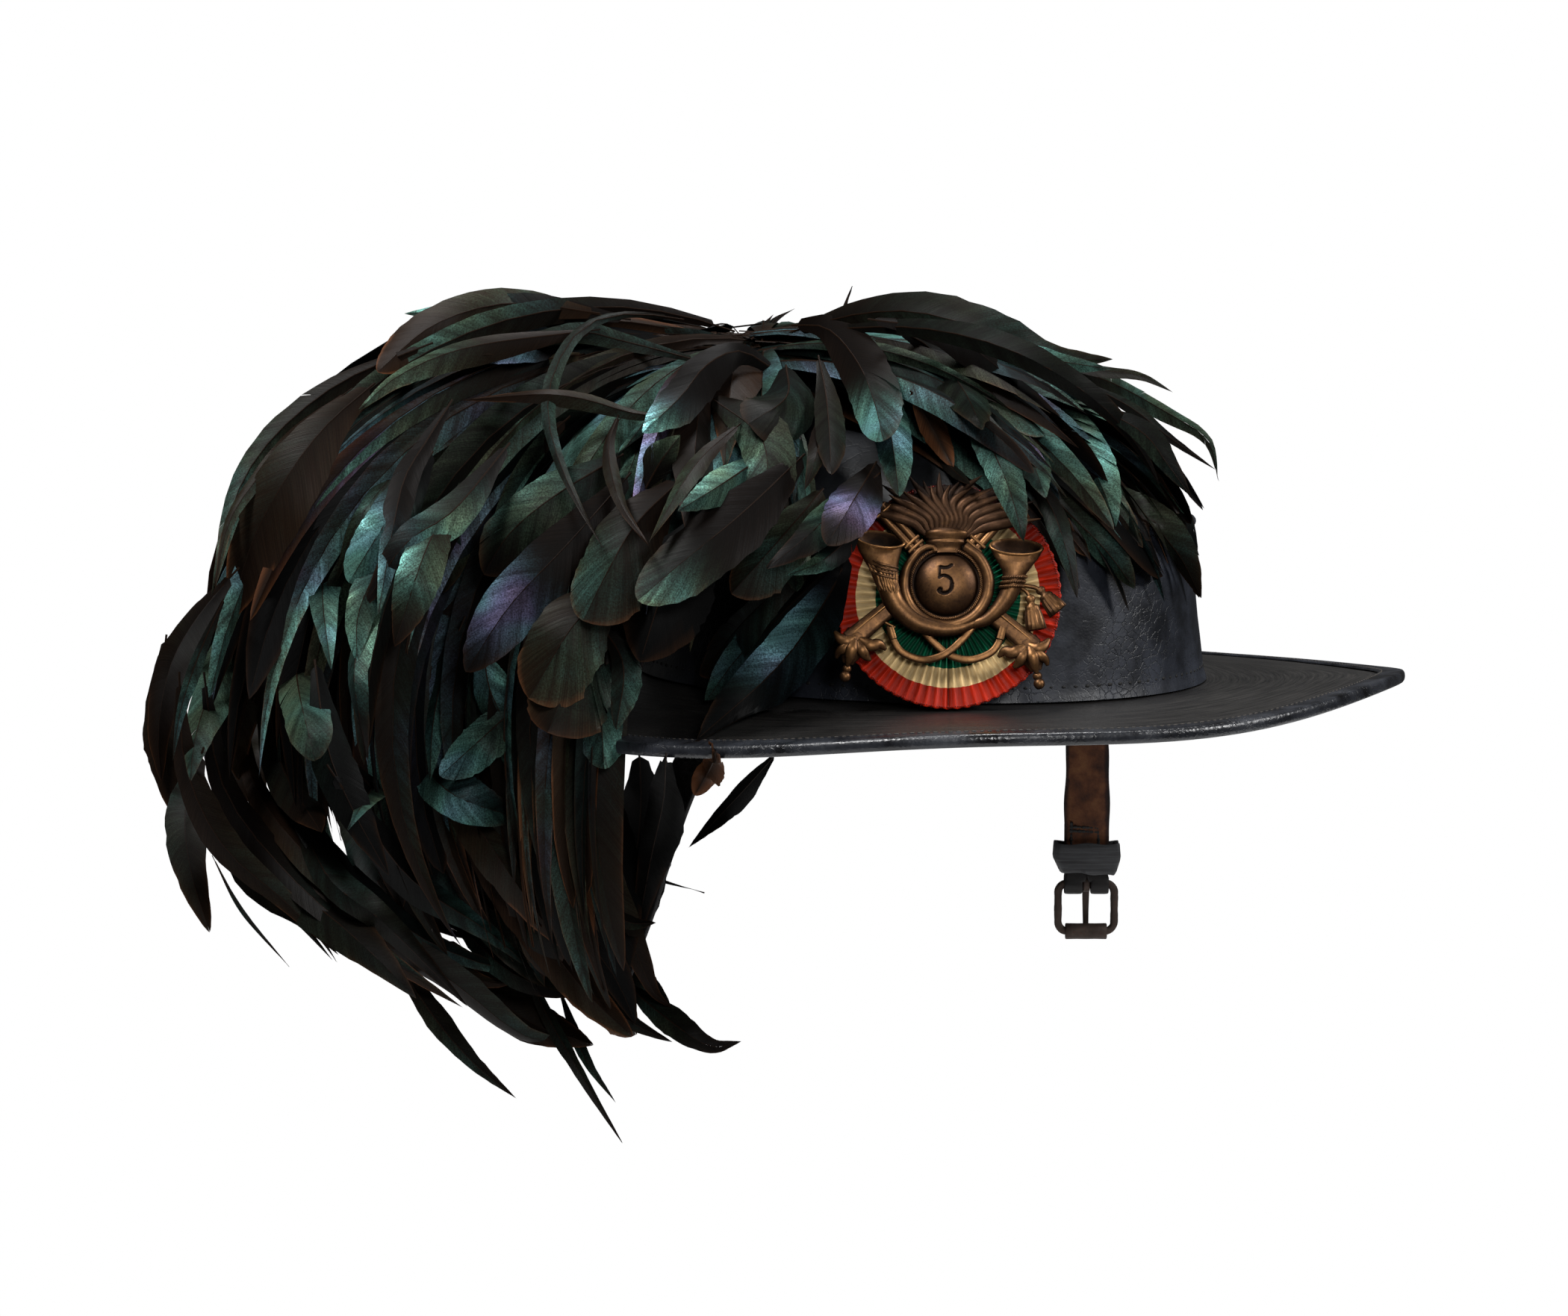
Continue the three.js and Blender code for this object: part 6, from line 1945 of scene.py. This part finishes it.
    def build(self) -> None:
        """Builds both halves, the keeper, the buckle and the sewing."""
        sewn = lambda z: FORM.foot[0] - float(FORM.crown_inset(z)) - self.inside
        side = (0.06, -1.0, 0.0)
        short = [((sewn(30), 7.7, 30.0), side), ((sewn(8), 7.7, 8.0), side),
                 ((77.9, 7.4, -12.0), (0.45, -0.9, 0.0)),
                 *[(np.array((79.2, 6.6, z)) + self.OUT * 0.95, self.RIGHT) for z in (-32.0, -52.0, -71.0)]]
        self.strap("short_strap_rough_side", short, Stock.FLESH, "flesh_leather", ("buckle_strap",),
                   self.folded_end())
        other, low = (0.065, 1.0, 0.0), (-0.12, 1.0, 0.0)
        long = [((-sewn(30), 7.7, 30.0), other), ((-sewn(8), 7.7, 8.0), other), ((-77.2, 8.0, -6.0), other),
                ((-85.5, 16.2, -34.0), low), ((-92.0, 25.2, -65.0), low), ((-98.5, 34.2, -95.0), low)]
        self.strap("long_strap_leather", long, Stock.STRAP, "strap_leather", ("long_strap",))
        self.keeper()
        self.buckle()
        rows = []
        for corners in ([(-5.2, 20.4), (-5.3, 15.0), (-5.1, 8.0)], [(3.6, 20.2), (3.9, 15.0), (3.8, 8.0)],
                        [(-5.2, 19.4), (3.7, 19.0)], [(-5.2, 18.0), (3.7, 17.6)]):
            dense = np.concatenate([np.linspace(a, b, 12, endpoint=False)
                                    for a, b in zip(corners, corners[1:])])
            rows.append((self.put(spread(*dense.T, 1.88)), self.OUT))
        STITCHES.lay("strap_sewing", "strap_leather", rows, 1.25, (1.6, 1.05, 0.32), Stock.BLACK_THREAD_AND_HOLE_SHADE,
                     uneven=0.2, closed=False)


# The studio


@dataclass(frozen=True)
class SoftLight:
    """One soft box."""

    name: str
    at: tuple[float, float, float]  # metres along the image's right, up, and towards the camera
    size: float
    watts: float


@dataclass
class Studio:
    """A pale floor, soft light and the photograph's camera."""

    camera: PhotoCamera
    floor: float = -0.46  # metres; the hat hangs clear of it, as in the photograph
    lights: tuple[SoftLight, ...] = (
        SoftLight("key_light", (-0.75, 1.35, 0.75), 0.45, 32),
        SoftLight("right_light", (1.35, 0.8, 0.5), 0.45, 20),
        SoftLight("top_light", (0.15, 1.6, -0.3), 0.6, 20),
        SoftLight("front_light", (0.3, 0.45, 1.7), 0.4, 10),
    )

    def build(self) -> None:
        """Sets the camera, the lights, the floor and the white surround."""
        self.camera.set_up()
        view, right, _ = self.camera.axes()
        for light in self.lights:
            data = bpy.data.lights.new(light.name, "AREA")
            data.shape = "DISK"
            data.size = light.size
            data.energy = light.watts
            lamp = bpy.data.objects.new(light.name, data)
            place = right * light.at[0] + UP * light.at[1] - view * light.at[2]
            lamp.location = Vector(place)
            lamp.rotation_euler = Vector(-place).to_track_quat("-Z", "Y").to_euler()
            bpy.context.scene.collection.objects.link(lamp)
        self.surround()
        rings = [0.001, 0.3, 0.6, 0.9]
        grid = spread(np.cos(around(96)) * rings, np.sin(around(96)) * rings, self.floor)
        floor = make_piece("studio_floor", lattice(grid / MM, wrap_rows=True, flip=True), [Stock.PAPER],
                           closed=False)
        bpy.context.scene.view_settings.view_transform = "Standard"

    @staticmethod
    def surround() -> None:
        """A white surround that lights the hat only a little."""
        world = bpy.data.worlds.new("white_surround")
        world.use_nodes = True
        bpy.context.scene.world = world
        tree = world.node_tree
        back = tree.nodes["Background"]
        ray = add_node(tree, "LightPath").outputs["Is Camera Ray"]
        level = add_node(tree, "MapRange", [ray, 0.0, 1.0, 0.04, 1.0])
        plug(tree, back, {"Color": (1, 1, 1, 1), "Strength": level})


def main() -> None:
    """Builds the hat's sub-assemblies in order, in their studio."""
    logging.basicConfig(level=logging.INFO, format="%(name)s: %(message)s")
    camera = PhotoCamera()
    Studio(camera).build()
    HatBody().build()
    Cockade().build()
    Badge().build()
    ChinStrap().build()
    Plume(camera).build()


if __name__ == "__main__":
    main()
